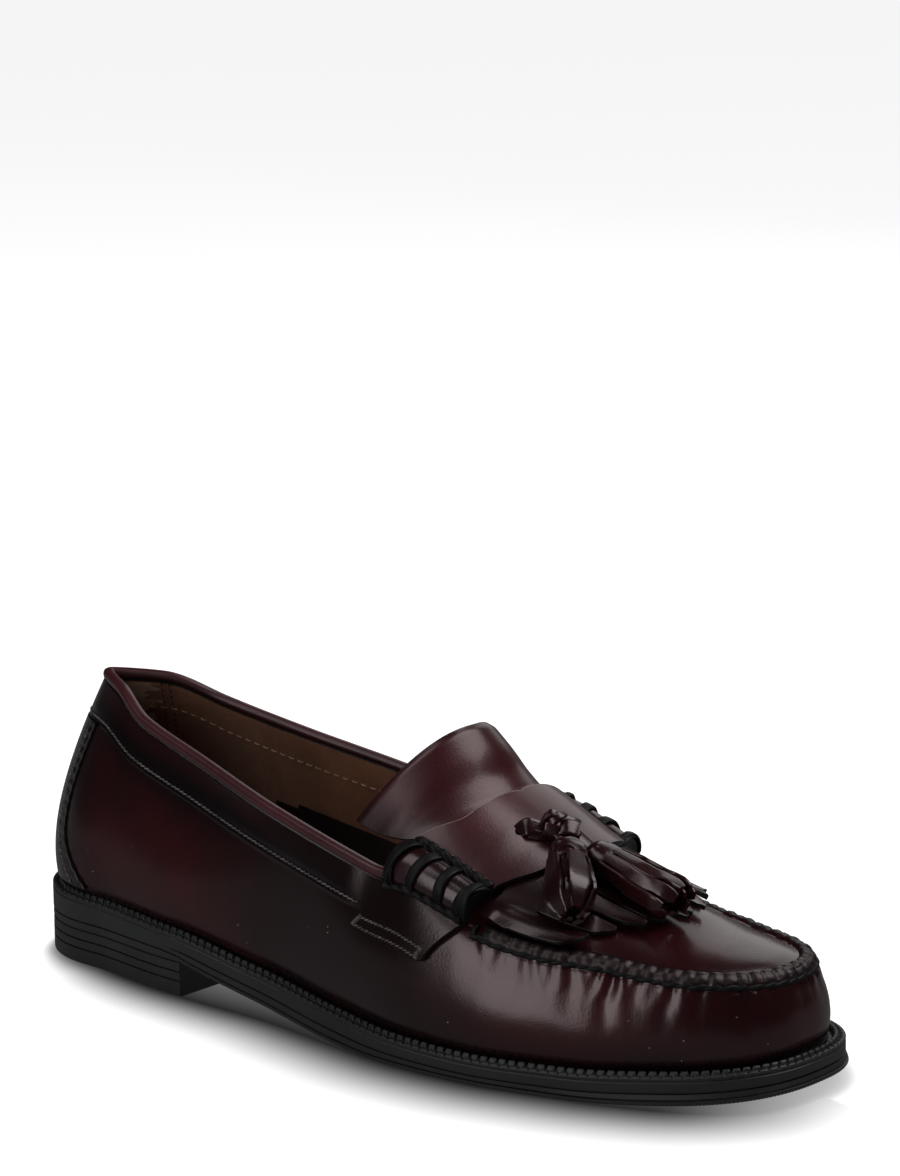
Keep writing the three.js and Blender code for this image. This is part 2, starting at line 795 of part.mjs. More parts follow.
function strap() {
  const across = [...strapHalf.slice(1).map((k) => -k).reverse(), ...strapHalf];
  const ends = [-2, ...across, 2];
  return slab(ends, range(5, 0, 1), (k, t, side) => {
    const end = mix(tabRear, tabFront, t);
    const place = clamp(k, -end, end);
    return strapPoint(place, t, side ? strapHigh(place) : strapLow(place));
  });
}

// Thong binding over one roll: hoops across it and a cord along each side of it
const hoopPlaces = [0.07, 0.36, 0.65, 0.93];
const railWidth = 0.03;

function thong(side) {
  const halfHoop = thongWidth / 2 / (rollSpan * soleLength);
  const over = (k, t, height) => strapPoint(side * k, t, strapHigh(k) + height);
  const hoopLow = clearance * 2.2;
  const railLow = clearance * 1.8;
  const hoopAcross = [rollStart - railWidth / 2, ...rollPlaces, rollEnd + railWidth / 2];
  const hoops = hoopPlaces.map((t) =>
    slab(hoopAcross, [t - halfHoop, t + halfHoop], (k, place, top) =>
      over(k, place, hoopLow + top * thongThickness),
    ),
  );
  const rails = [rollStart - railWidth, rollEnd].map((start) =>
    slab([start, start + railWidth], range(4, 0.03, 0.97), (k, place, top) =>
      over(k, place, railLow + top * (thongThickness + clearance)),
    ),
  );
  return joined([...hoops, ...rails]);
}

// Tongue: lies on the vamp under the strap, then flares up and back out of it
function tongue() {
  const across = range(14, -1, 1);
  const onVamp = [0, 0.35, 0.7];
  const free = tongueRows.map((row, i) => 1 + i / (tongueRows.length - 1));
  const rows = [...onVamp, 1, 1.17, ...range(3, 1.33, 2)];
  const freePoint = (k, t) => {
    const place = free.map((at, i) => ({ at, ...tongueRows[i] }));
    const get = (name) => column(place, "at", t, name);
    const size = Math.abs(k);
    return new THREE.Vector3(
      soleLength * mix(get("midX"), get("edgeX"), Math.pow(size, tongueBend)),
      ballWidth * get("edgeY") * k,
      collarHeight * mix(get("midZ"), get("edgeZ"), Math.pow(size, get("round"))),
    );
  };
  const vampTop = (k, t, height) => {
    const rear = mix(tongueRear.middle, tongueRear.edge, Math.pow(Math.abs(k), tongueRear.power));
    return raised(topPlace(soleLength * mix(tongueRoot, rear, t)), k * tongueHalf, height);
  };
  return slab(across, rows, (k, t, side) => {
    if (t < 1) return vampTop(k, t, clearance + side * tongueThickness);
    const step = 0.01;
    const acrossIt = freePoint(k + step, t).sub(freePoint(k - step, t));
    const alongIt = freePoint(k, t + step).sub(freePoint(k, t - step));
    const out = alongIt.cross(acrossIt).normalize();
    if (out.z < 0) out.negate();
    return freePoint(k, t).addScaledVector(out, (side - 1) * tongueThickness);
  });
}

// Kiltie: a flat piece under the strap, cut into fingers in front of it
const ridgeLift = (k) => (seamRelief + clearance / 2) * smoothStep(ridgeStart, ridgeFull, Math.abs(k));

function kiltie() {
  const over = (share, t, height) => {
    const k = share * mix(kiltieRootHalf, kiltieTipHalf, t);
    const tip = fringeTip - fringeSweep * share * share;
    const back = kiltieRootBack * smoothStep(kiltieBackStart, kiltieRootHalf, Math.abs(share) * kiltieRootHalf);
    const p = topPlace(soleLength * mix(kiltieRoot - back, tip, t));
    const climb = ridgeLift(k) * smoothStep(climbStart, climbEnd, t);
    return raised(p, k, clearance + climb + height);
  };
  const outer = [];
  const inner = [];
  const faces = [];
  const add = (share, t, rise) => {
    outer.push(over(share, t, rise + kiltieThickness));
    inner.push(over(share, t, rise));
    return outer.length - 1;
  };
  const fill = (rows) => {
    for (let i = 0; i + 1 < rows.length; i += 1) {
      for (let j = 0; j + 1 < rows[i].length; j += 1) {
        faces.push([rows[i][j], rows[i + 1][j], rows[i + 1][j + 1], rows[i][j + 1]]);
      }
    }
  };
  const root = [0, slitStart / 2, slitStart].map((t) => {
    return range(2 * fringeCount, -1, 1).map((share) => add(share, t, 0));
  });
  fill(root);
  for (let i = 0; i < fringeCount; i += 1) {
    const start = mix(-1, 1, i / fringeCount);
    const end = mix(-1, 1, (i + 1) / fringeCount);
    const lift = i % 2 ? fringeLift : fringeLift / 3;
    const tips = fringeRows.map((row) => {
      const cut = (end - start) * row.cut;
      const rise = lift * smoothStep(slitStart, 1, row.at);
      return [start + cut, (start + end) / 2, end - cut].map((share) => add(share, row.at, rise));
    });
    fill([root[2].slice(2 * i, 2 * i + 3), ...tips]);
  }
  return closedSkin(outer, inner, faces);
}

// A place over the vamp
function overVamp({ at, side, rise }) {
  const x = at * soleLength;
  const y = side * ballWidth;
  return new THREE.Vector3(x, y, vampHeight(x, y) + rise * tasselRadius);
}

// Tassel: a cap over a skirt of folded strips that ends in a small hollow
function tassel(shape) {
  const start = overVamp(shape.neck);
  const end = overVamp(shape.end);
  const axis = end.clone().sub(start);
  const side = new THREE.Vector3(0, 0, 1).cross(axis).normalize();
  const up = axis.clone().cross(side).normalize();
  const ring = (at, radius, lobe) =>
    range(24, 0, 2 * Math.PI)
      .slice(0, -1)
      .map((angle) => {
        const size = tasselRadius * radius * (1 + lobe * Math.cos(tasselLobes * angle));
        return start
          .clone()
          .addScaledVector(axis, at)
          .addScaledVector(side, size * Math.cos(angle))
          .addScaledVector(up, size * Math.sin(angle));
      });
  return tube(
    [
      ...tasselRows.map((row) => ring(row.at, row.radius, row.lobe)),
      ring(0.985, tasselHollow.radius, 0.1),
      ring(1 - tasselHollow.depth, tasselHollow.radius * 0.7, 0.05),
    ],
    false,
  );
}

// Knot of the tassel thong: a lumpy middle, a lobe out of the slot on each side and a loop on top
function knotBody() {
  const centre = overVamp({ ...knot, rise: 0 });
  centre.z += layer + strapThickness + knotSize + knotRise;
  const lump = (dx, dy, dz, size, stretch) => {
    const ball = new THREE.SphereGeometry(knotSize * size, 8, 6);
    ball.scale(stretch[0], stretch[1], stretch[2]);
    ball.translate(centre.x + dx * knotSize, centre.y + dy * knotSize, centre.z + dz * knotSize);
    ball.deleteAttribute("normal");
    ball.deleteAttribute("uv");
    return mergeVertices(ball, 1e-4);
  };
  return joined([
    lump(0, 0, 0, 1, [1.1, 1, 0.9]),
    lump(-1.05, -1.15, -0.25, 0.75, [1.1, 1.3, 0.75]),
    lump(-0.5, 0.7, 0.75, 0.6, [1.1, 1.2, 0.8]),
    lump(0.2, 1.25, -0.15, 0.7, [1, 1.3, 0.8]),
  ]);
}

const leather = { color: 0x3a1016, roughness: 0.3, metalness: 0 };
const darkLeather = { color: 0x14090b, roughness: 0.35, metalness: 0 };
const rubber = { color: 0x1f2022, roughness: 0.6, metalness: 0 };
const lining = { color: 0x4b3020, roughness: 0.9, metalness: 0 };
const blackThong = { color: 0x0e0e10, roughness: 0.5, metalness: 0 };

const pieces = [
  ["outsole", outsole(), rubber],
  ["heel", heel(), rubber],
  ["welt", welt(), rubber],
  ["insole", insole(), lining],
  ["upper", upper(), leather],
  ["collar_binding", binding(), leather],
  ["backstay", backstay(), darkLeather],
  ["tongue", tongue(), leather],
  ["kiltie", kiltie(), leather],
  ["strap", strap(), leather],
  ["thong_lateral", thong(-1), blackThong],
  ["thong_medial", thong(1), blackThong],
  ["tassel_knot", knotBody(), darkLeather],
  ...tassels.map((shape) => [shape.name, tassel(shape), darkLeather]),
];

const shoe = new THREE.Group();
for (const [name, geometry, look] of pieces) {
  const mesh = new THREE.Mesh(geometry, new THREE.MeshStandardMaterial(look));
  mesh.name = name;
  shoe.add(mesh);
}
shoe.position.set(-heelBreast / 2, 0, 0);

const part = new THREE.Group();
part.add(shoe);

export default part;
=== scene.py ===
import math
import random

import bmesh
import bpy
import numpy as np
from mathutils import Matrix, Vector


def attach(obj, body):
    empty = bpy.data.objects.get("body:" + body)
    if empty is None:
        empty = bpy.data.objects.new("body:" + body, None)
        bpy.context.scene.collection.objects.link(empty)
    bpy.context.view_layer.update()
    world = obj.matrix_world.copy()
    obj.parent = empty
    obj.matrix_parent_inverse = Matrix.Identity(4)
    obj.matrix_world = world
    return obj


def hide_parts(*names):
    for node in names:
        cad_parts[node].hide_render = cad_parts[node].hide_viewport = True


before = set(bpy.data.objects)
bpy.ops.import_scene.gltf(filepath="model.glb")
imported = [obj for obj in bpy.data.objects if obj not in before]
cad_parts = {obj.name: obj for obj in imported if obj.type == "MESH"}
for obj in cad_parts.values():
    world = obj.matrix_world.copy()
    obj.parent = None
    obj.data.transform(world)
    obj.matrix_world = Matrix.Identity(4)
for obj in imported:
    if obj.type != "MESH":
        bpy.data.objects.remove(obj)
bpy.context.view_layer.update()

# Sizes of the shoe in millimetres. Shapes are worked out with x = 0 at the back of the heel,
# and set into the frame, in metres, when a piece is made.
SOLE_LENGTH = 304
BALL_WIDTH = 100.6
HEEL_HEIGHT = 11.4
HEEL_BREAST = 82.7
SOLE_THICKNESS = 9
TOE_SPRING = 5.7
WELT_THICKNESS = 2.6
INSOLE_THICKNESS = 3
WALL = 2
OUTER_WALL = 1.1
COLLAR_HEIGHT = 92.5
COLLAR_LEAN = 14.5
TOE_INSET = 11
INSTEP_RISE = 24.5
CLEARANCE = 0.3
TOE_FLARE = 0.9
BAND_WIDTH = 13
BAND_RELIEF = 0.9
SEAM_WIDTH = 4.8
SEAM_RELIEF = 2.2
BINDING_WIDTH = 4
BINDING_HEIGHT = 3.6
BACKSTAY_THICKNESS = 0.9
BACKSTAY_GAP = 0.8
TONGUE_THICKNESS = 1.6
KILTIE_THICKNESS = 1.5
STRAP_THICKNESS = 1.8
ROLL_HEIGHT = 5.6
TASSEL_RADIUS = 6.5
ORIGIN = np.array([HEEL_BREAST / 2, 0, 0])
UP = np.array([0, 0, 1.0])

# Places along the shoe, as shares of the sole's length
BALL_START = 0.56
BALL_END = 0.78
THROAT = 0.612
BAND_END = 0.545
SEAM_START = 0.68

SOLE = {
    "at": [0, 0.12, 0.25, 0.38, 0.5, 0.6, 0.7, 0.8, 0.9, 1],
    "half": [0.32, 0.336, 0.364, 0.37, 0.42, 0.477, 0.5, 0.467, 0.439, 0.411],
    "shift": [0, 0.002, -0.026, -0.037, -0.043, -0.031, 0, 0.029, 0.06, 0.04],
    "top": [2.72, 2.597, 2.427, 1.797, 1.332, 1.08, 1, 1.045, 1.278, 1.689],
}
HEEL_ROUND = (34, 2.2)
TOE_ROUND = (70, 2.48)
TOP = {
    "at": [0.048, 0.1, 0.165, 0.263, 0.395, 0.56, 0.612, 0.66, 0.69, 0.725, 0.76, 0.82, 0.88, 0.97],
    "half": [
        *(0.078, 0.135, 0.198, 0.254, 0.335, 0.392, 0.392),
        *(0.385, 0.378, 0.364, 0.348, 0.302, 0.279, 0.279),
    ],
    "shift": [0, 0, 0, 0, 0, 0, 0, 0, 0.003, 0.01, 0.018, 0.028, 0.036, 0.055],
    "height": [1, 0.989, 0.912, 0.834, 0.738, 0.624, 0.573, 0.515, 0.48, 0.454, 0.44, 0.427, 0.411, 0.402],
}
COLLAR_ROUND = (36, 2)
SEAM_ROUND = (40, 2.2)
CROWN = {
    "at": [0.5, 0.612, 0.66, 0.707, 0.757, 0.806, 0.855, 0.905, 0.94, 0.97],
    "crown": [1.1, 1, 0.927, 0.81, 0.63, 0.42, 0.278, 0.2, 0.14, 0],
}
CROWN_POWER = 2.2
SIDE = {
    "at": [0, 0.12, 0.3, 0.55, 0.7, 1],
    "low_out": [0.05, 0.1, 0.12, 0.12, 0.13, 0.12],
    "low_up": [0.36, 0.34, 0.33, 0.33, 0.33, 0.37],
    "high_out": [0.17, 0.1, 0.05, 0.08, 0.18, 0.2],
    "high_down": [0.3, 0.27, 0.25, 0.2, 0.1, 0.1],
}
WELT = {"at": [0, 0.25, 0.7, 1], "reach": [0.03, 0.04, 0.046, 0.056]}
STRAP = {
    "at": [0, 0.5, 0.8, 0.92, 1.03, 1.45],
    "rear": [0.63, 0.62, 0.586, 0.578, 0.574, 0.53],
    "front": [0.728, 0.71, 0.68, 0.672, 0.67, 0.635],
}
TAB_REAR = 1.42
TAB_FRONT = 1.5
TONGUE = {
    "at": [1, 4 / 3, 5 / 3, 2],
    "mid_x": [0.627, 0.613, 0.6, 0.576],
    "mid_z": [0.843, 0.892, 0.96, 1.052],
    "edge_x": [0.59, 0.566, 0.54, 0.506],
    "edge_y": [0.312, 0.328, 0.336, 0.333],
    "edge_z": [0.727, 0.718, 0.722, 0.752],
    "round": [2.3, 2.7, 2.6, 2.3],
}
TONGUE_ROOT = 0.682
TONGUE_HALF = 0.72
TONGUE_REAR = (0.625, 0.594)
BACKSTAY = {"at": [0, 0.35, 1], "edge": [0.105, 0.058, 0.04]}
FRINGE_COUNT = 10
KILTIE_ROOT = 0.69
KILTIE_BACK = 0.012
KILTIE_ROOT_HALF = 0.93
KILTIE_TIP_HALF = 1.02
FRINGE_TIP = 0.846
FRINGE_SWEEP = 0.073
SLIT_START = 0.36
ROLL_START = 0.8
ROLL_END = 1.03
ROLL_MIDDLE = (ROLL_START + ROLL_END) / 2
ROLL_HALF = (ROLL_END - ROLL_START) / 2
LAYER = CLEARANCE + TONGUE_THICKNESS + CLEARANCE


def smooth_step(low, high, value):
    t = np.clip((value - low) / (high - low), 0, 1)
    return t * t * (3 - 2 * t)


def mix(a, b, t):
    return a + (b - a) * t


def column(table, value, name):
    """A smooth curve through one column of a table that keeps each rise or fall between its rows."""
    xs = np.array(table["at"], float)
    ys = np.array(table[name], float)
    slopes = np.diff(ys) / np.diff(xs)
    before, after = slopes[:-1], slopes[1:]
    same = before * after > 0
    total = np.where(same, before + after, 1)
    tangents = np.concatenate([[slopes[0]], np.where(same, 2 * before * after / total, 0), [slopes[-1]]])
    v = np.clip(value, xs[0], xs[-1])
    i = np.clip(np.searchsorted(xs, v, side="right") - 1, 0, len(xs) - 2)
    step = xs[i + 1] - xs[i]
    t = (v - xs[i]) / step
    rise = ys[i + 1] - ys[i]
    start = step * tangents[i]
    end = step * tangents[i + 1]
    return ys[i] + t * (start + t * (3 * rise - 2 * start - end + t * (start + end - 2 * rise)))


def along(table, x, name):
    return column(table, np.asarray(x) / SOLE_LENGTH, name)


def round_off(distance, shape):
    length, power = shape
    t = np.clip(1 - distance / length, 0, 1)
    return (1 - t**power) ** (1 / power)


def underside(x):
    share = np.asarray(x, float) / SOLE_LENGTH
    breast = HEEL_BREAST / SOLE_LENGTH
    arch = HEEL_HEIGHT * np.clip((BALL_START - share) / (BALL_START - breast), 0, 1) ** 1.6
    toe = TOE_SPRING * (np.clip(share - BALL_END, 0, 1) / (1 - BALL_END)) ** 2
    return arch + toe


def bed_top(x):
    return SOLE_THICKNESS * along(SOLE, x, "top") - WELT_THICKNESS


def stack(*parts):
    return np.stack(np.broadcast_arrays(*parts), axis=-1)


def unit(vectors):
    length = np.linalg.norm(vectors, axis=-1, keepdims=True)
    return vectors / np.where(length > 0, length, 1)


def distances(points):
    """How far each point is along the line from the first one."""
    steps = np.linalg.norm(np.diff(points, axis=0), axis=1)
    return np.concatenate([[0], np.cumsum(steps)])


def rounded_square(angles, power):
    """The two coordinates of a circle (power 1) or of a squarer ring (power below 1)."""
    across, rise = np.cos(angles), np.sin(angles)
    return np.sign(across) * np.abs(across) ** power, np.sign(rise) * np.abs(rise) ** power


def circle_angles(count):
    return np.linspace(0, 2 * math.pi, count, endpoint=False)


def bump_at(value, centre, half):
    """A smooth bump of height 1 round the centre."""
    return np.exp(-(((value - centre) / half) ** 2))


# A ring runs from the toe back along the outer side, round the heel and forward along the inner side:
# q = -1 and 1 are the toe, q = 0 is the heel.
def wrap(q):
    return (np.asarray(q, float) + 1) % 2 - 1


def side_of(q):
    return np.where(q < 0, -1.0, 1.0)


def reach_of(q):
    return (1 - np.cos(np.pi * np.abs(q))) / 2


def sole_outline(q):
    q = wrap(q)
    x = SOLE_LENGTH * reach_of(q)
    caps = round_off(x, HEEL_ROUND) * round_off(SOLE_LENGTH - x, TOE_ROUND)
    half = BALL_WIDTH * along(SOLE, x, "half") * caps
    return stack(x, BALL_WIDTH * along(SOLE, x, "shift") + side_of(q) * half, 0 * x)


def plan_normal(ring, q):
    tangent = ring(q + 0.004) - ring(q - 0.004)
    return unit(stack(-tangent[..., 1], tangent[..., 0], 0 * tangent[..., 0]))


def inset_outline(q, distance):
    return sole_outline(q) - plan_normal(sole_outline, q) * np.asarray(distance)[..., None]


def welt_reach(q):
    return BALL_WIDTH * along(WELT, sole_outline(q)[..., 0], "reach")


def feather_line(q):
    point = inset_outline(q, welt_reach(q))
    point[..., 2] = bed_top(point[..., 0]) + CLEARANCE
    return point


TOP_START = COLLAR_LEAN
TOP_END = SOLE_LENGTH - TOE_INSET


def top_x(p):
    return TOP_START + (TOP_END - TOP_START) * reach_of(p)


def top_place(x):
    return np.arccos(np.clip(1 - 2 * (np.asarray(x) - TOP_START) / (TOP_END - TOP_START), -1, 1)) / np.pi


def half_top(x):
    caps = round_off(x - TOP_START, COLLAR_ROUND) * round_off(TOP_END - x, SEAM_ROUND)
    return BALL_WIDTH * along(TOP, x, "half") * caps


def collar_share(x):
    return 1 - smooth_step(BAND_END, THROAT, np.asarray(x) / SOLE_LENGTH)


def seam_share(x):
    return smooth_step(SEAM_START, SEAM_START + 0.02, np.asarray(x) / SOLE_LENGTH)


def top_line(q):
    q = wrap(q)
    x = top_x(q)
    y = BALL_WIDTH * along(TOP, x, "shift") + side_of(q) * half_top(x)
    z = COLLAR_HEIGHT * along(TOP, x, "height") - (BINDING_HEIGHT + CLEARANCE) * collar_share(x)
    return stack(x, y, z)


def wall_point(q, v):
    """Side wall of the last: v = 0 just above the welt, v = 1 at the top line."""
    q, v = np.broadcast_arrays(np.asarray(q, float), np.asarray(v, float))
    q = wrap(q)
    low = feather_line(q)
    low[..., 2] += WELT_THICKNESS
    high = top_line(q)
    height = high[..., 2] - low[..., 2]
    out = plan_normal(sole_outline, q)
    share = lambda name: (height * along(SIDE, low[..., 0], name))[..., None]
    second = low + out * share("low_out") + UP * share("low_up")
    third = high + out * share("high_out") - UP * share("high_down")
    t = v[..., None]
    s = 1 - t
    return s**3 * low + 3 * s * s * t * second + 3 * s * t * t * third + t**3 * high


def wall_length(q):
    """Length of the wall's line from the welt to the top line, at each place."""
    q = np.asarray(q)[..., None]
    steps = np.diff(wall_point(q, np.linspace(0, 1, 12)), axis=-2)
    return np.linalg.norm(steps, axis=-1).sum(axis=-1)


def vamp_point(p, w):
    outer = top_line(-np.asarray(p))
    inner = top_line(np.asarray(p))
    w = np.asarray(w)
    point = outer + (inner - outer) * ((w + 1) / 2)[..., None]
    point[..., 2] += INSTEP_RISE * along(CROWN, point[..., 0], "crown") * (1 - np.abs(w) ** CROWN_POWER)
    return point


def last_point(p, k):
    """Across the shoe: |k| up to 1 is the vamp, |k| from 1 to 2 goes down the wall."""
    p, k = np.broadcast_arrays(np.asarray(p, float), np.asarray(k, float))
    vamp = vamp_point(p, np.clip(k, -1, 1))
    side = np.where(k < 0, -1.0, 1.0)
    below = wall_point(side * p, np.clip(2 - np.abs(k), 0, 1))
    return np.where((np.abs(k) <= 1)[..., None], vamp, below)


def face_normal(p, k, low, high):
    step = 0.006
    before = np.clip(k - step, low, high)
    after = np.clip(k + step, low, high)
    across = last_point(p, after) - last_point(p, before)
    ahead = last_point(p + step, k) - last_point(p - step, k)
    return unit(np.cross(ahead, across))


def last_normal(p, k):
    """Outward direction, turned smoothly over the corner at the seam."""
    p, k = np.broadcast_arrays(np.asarray(p, float), np.asarray(k, float))
    side = np.where(k < 0, -1.0, 1.0)
    size = np.abs(k)
    turn = 0.12
    edge = 1e-6
    low_vamp = np.where(side < 0, -1, -1 + 0 * k)
    on_vamp = face_normal(p, side * np.minimum(size, 1 - edge), low_vamp, 1 + 0 * k)
    walls = np.sort(stack(side, 2 * side), axis=-1)
    on_wall = face_normal(p, side * np.maximum(size, 1 + edge), walls[..., 0], walls[..., 1])
    t = np.clip((size - 1 + turn) / (2 * turn), 0, 1)[..., None]
    return unit(mix(on_vamp, on_wall, t))


def raised(p, k, height):
    return last_point(p, k) + last_normal(p, k) * np.asarray(height)[..., None]


def vamp_height(x, y):
    p = top_place(x)
    middle = (top_line(-p)[..., 1] + top_line(p)[..., 1]) / 2
    return vamp_point(p, np.clip((y - middle) / half_top(x), -1, 1))[..., 2]


# Meshes
def grid_faces(rows, columns, closed=False, start=0):
    faces = []
    for i in range(rows if closed else rows - 1):
        here = start + i * columns
        ahead = start + ((i + 1) % rows) * columns
        for j in range(columns - 1):
            faces.append((here + j, ahead + j, ahead + j + 1, here + j + 1))
    return faces


def vertex_normals(points, faces):
    quads = np.array([face if len(face) == 4 else (*face, face[-1]) for face in faces])
    across = points[quads[:, 2]] - points[quads[:, 0]]
    other = points[quads[:, 3]] - points[quads[:, 1]]
    normal = np.cross(across, other)
    total = np.zeros_like(points)
    for i in range(4):
        np.add.at(total, quads[:, i], normal)
    return unit(total)


def closed_skin(outer, inner, faces):
    """Closes two skins that share their faces into one solid. Kinds: 0 outer, 1 inner, 2 cut edge."""
    count = len(outer)
    open_edges = {}
    for face in faces:
        for a, b in zip(face, face[1:] + face[:1]):
            if (b, a) in open_edges:
                del open_edges[(b, a)]
            else:
                open_edges[(a, b)] = True
    back = [tuple(i + count for i in reversed(face)) for face in faces]
    edges = [(b, a, a + count, b + count) for a, b in open_edges]
    kinds = [0] * len(faces) + [1] * len(back) + [2] * len(edges)
    return np.concatenate([outer, inner]), list(faces) + back + edges, kinds


def tube(rings, closed=False):
    """Joins rings of equal length. rings is an array of ring, corner, xyz."""
    count, size = rings.shape[:2]
    faces = []
    for i in range(count if closed else count - 1):
        here, ahead = i * size, ((i + 1) % count) * size
        for j in range(size):
            k = (j + 1) % size
            faces.append((here + j, ahead + j, ahead + k, here + k))
    if not closed:
        faces.append(tuple(range(size)))
        faces.append(tuple(reversed(range((count - 1) * size, count * size))))
    return rings.reshape(-1, 3), faces


def merged(parts):
    """Puts several (points, faces) pairs into one."""
    points, faces, start = [], [], 0
    for part_points, part_faces in parts:
        points.append(np.asarray(part_points, float))
        faces += [tuple(i + start for i in face) for face in part_faces]
        start += len(part_points)
    return np.concatenate(points), faces


def new_mesh(name, points, faces):
    """A mesh from points in millimetres, set into the frame."""
    mesh = bpy.data.meshes.new(name)
    placed = (np.asarray(points) - ORIGIN) / 1000
    mesh.from_pydata(placed.tolist(), [], [tuple(int(i) for i in face) for face in faces])
    return mesh


def new_object(name, data):
    obj = bpy.data.objects.new(name, data)
    bpy.context.scene.collection.objects.link(obj)
    return obj


def point_values(mesh, name, values):
    attribute = mesh.attributes.new(name, "FLOAT", "POINT")
    attribute.data.foreach_set("value", np.asarray(values, np.float32))


def piece(name, points, faces, materials, slot, stands_for=(), kinds=None, shade=None, angle=50):
    mesh = new_mesh(name, points, faces)
    if shade is not None:
        point_values(mesh, "shade", shade)
    for material in materials:
        mesh.materials.append(material)
    if kinds is not None:
        mesh.polygons.foreach_set("material_index", np.asarray(kinds, np.int32))
    mesh.validate()
    obj = new_object(name, mesh)
    fix_outward(mesh)
    mesh.shade_smooth()
    mesh.set_sharp_from_angle(angle=math.radians(angle))
    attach(obj, "root")
    if stands_for:
        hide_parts(*stands_for)
    return obj


def joined(name, parts, material, slot, **more):
    """Many small parts as one piece of one material."""
    points, faces = merged(parts)
    piece(name, points, faces, [material], slot, **more)


def fix_outward(mesh):
    shape = bmesh.new()
    shape.from_mesh(mesh)
    bmesh.ops.recalc_face_normals(shape, faces=shape.faces)
    shape.to_mesh(mesh)
    shape.free()


def settle(obj):
    """Turns an object's modifiers into its mesh."""
    shown = obj.evaluated_get(bpy.context.evaluated_depsgraph_get())
    mesh = bpy.data.meshes.new_from_object(shown)
    obj.modifiers.clear()
    obj.data = mesh
    mesh.shade_smooth()


def bevel(obj, width=0.25, segments=2, angle=45):
    cut = obj.modifiers.new("rounded edges", "BEVEL")
    cut.width = width / 1000
    cut.segments = segments
    cut.limit_method = "ANGLE"
    cut.angle_limit = math.radians(angle)
    cut.use_clamp_overlap = True
    settle(obj)


# Materials
def linear(red, green, blue):
    """A colour given as 0 to 255 on the screen."""
    to_light = lambda c: c / 12.92 if c <= 0.04045 else ((c + 0.055) / 1.055) ** 2.4
    return (*[to_light(c / 255) for c in (red, green, blue)], 1)


class Shader:
    """A material whose nodes are added one at a time."""

    def __init__(self, name, rough, coat=0.0, coat_rough=0.2, specular=0.5, tint=(1, 1, 1, 1)):
        self.material = bpy.data.materials.new(name)
        self.material.use_nodes = True
        self.nodes = self.material.node_tree.nodes
        self.links = self.material.node_tree.links
        self.skin = self.nodes["Principled BSDF"]
        self.skin.inputs["Roughness"].default_value = rough
        self.skin.inputs["Coat Weight"].default_value = coat
        self.skin.inputs["Coat Roughness"].default_value = coat_rough
        self.skin.inputs["Specular IOR Level"].default_value = specular
        self.skin.inputs["Specular Tint"].default_value = tint
        self.place = self.nodes.new("ShaderNodeTexCoord").outputs["Object"]

    def add(self, kind, **settings):
        node = self.nodes.new(kind)
        for key, value in settings.items():
            setattr(node, key, value)
        return node

    def join(self, source, target):
        self.links.new(source, target)

    def noise(self, scale, detail=3.0, roughness=0.55):
        node = self.add("ShaderNodeTexNoise")
        node.inputs["Scale"].default_value = scale
        node.inputs["Detail"].default_value = detail
        node.inputs["Roughness"].default_value = roughness
        self.join(self.place, node.inputs["Vector"])
        return node.outputs["Fac"]

    def spots(self, scale):
        node = self.add("ShaderNodeTexVoronoi")
        node.inputs["Scale"].default_value = scale
        self.join(self.place, node.inputs["Vector"])
        return node.outputs["Distance"]

    def ramp(self, source, stops):
        node = self.add("ShaderNodeValToRGB")
        ramp = node.color_ramp
        while len(ramp.elements) < len(stops):
            ramp.elements.new(0.5)
        for element, (position, colour) in zip(ramp.elements, stops):
            element.position = position
            element.color = colour
        self.join(source, node.inputs["Fac"])
        return node.outputs["Color"]

    def blend(self, first, second, factor):
        node = self.add("ShaderNodeMix", data_type="RGBA")
        for value, socket in ((factor, node.inputs[0]), (first, node.inputs[6]), (second, node.inputs[7])):
            if isinstance(value, tuple):
                socket.default_value = value
            else:
                self.join(value, socket)
        return node.outputs[2]

    def times(self, source, factor):
        node = self.add("ShaderNodeMath", operation="MULTIPLY")
        node.inputs[1].default_value = factor
        self.join(source, node.inputs[0])
        return node.outputs[0]

    def attribute(self, name):
        return self.add("ShaderNodeAttribute", attribute_name=name).outputs["Fac"]

    def colour(self, source):
        self.join(source, self.skin.inputs["Base Color"])

    def bump(self, *layers):
        """Each layer is a height and how many millimetres it stands for."""
        normal = None
        for height, depth in layers:
            node = self.add("ShaderNodeBump")
            node.inputs["Distance"].default_value = depth / 1000
            node.inputs["Strength"].default_value = 1
            self.join(height, node.inputs["Height"])
            if normal:
                self.join(normal, node.inputs["Normal"])
            normal = node.outputs["Normal"]
        self.join(normal, self.skin.inputs["Normal"])

    def rough(self, source, low, high):
        node = self.add("ShaderNodeMapRange")
        node.inputs["To Min"].default_value = low
        node.inputs["To Max"].default_value = high
        self.join(source, node.inputs["Value"])
        self.join(node.outputs["Result"], self.skin.inputs["Roughness"])


WARM = (1, 0.82, 0.84, 1)


def polished_leather(name, bright, dark, rough, coat):
    """Brush-off leather: burgundy that turns nearly black where the shade attribute says, which holds both
    its darkening towards edges and seams and painted shade, with a soft polish.
    """
    shader = Shader(name, rough[0], coat=coat, coat_rough=0.15, specular=0.6, tint=WARM)
    cloud = shader.noise(22, 3)
    base = shader.ramp(cloud, [(0.3, linear(*dark)), (0.72, linear(*bright))])
    shade = shader.attribute("shade")
    black = linear(7, 4, 5)
    shader.colour(shader.blend(base, black, shade))
    shader.rough(shader.noise(60, 4), *rough)
    grain = shader.spots(1500)
    shader.bump((shader.noise(140, 3), 0.06), (grain, 0.02), (shader.noise(1100, 3), 0.02))
    return shader.material


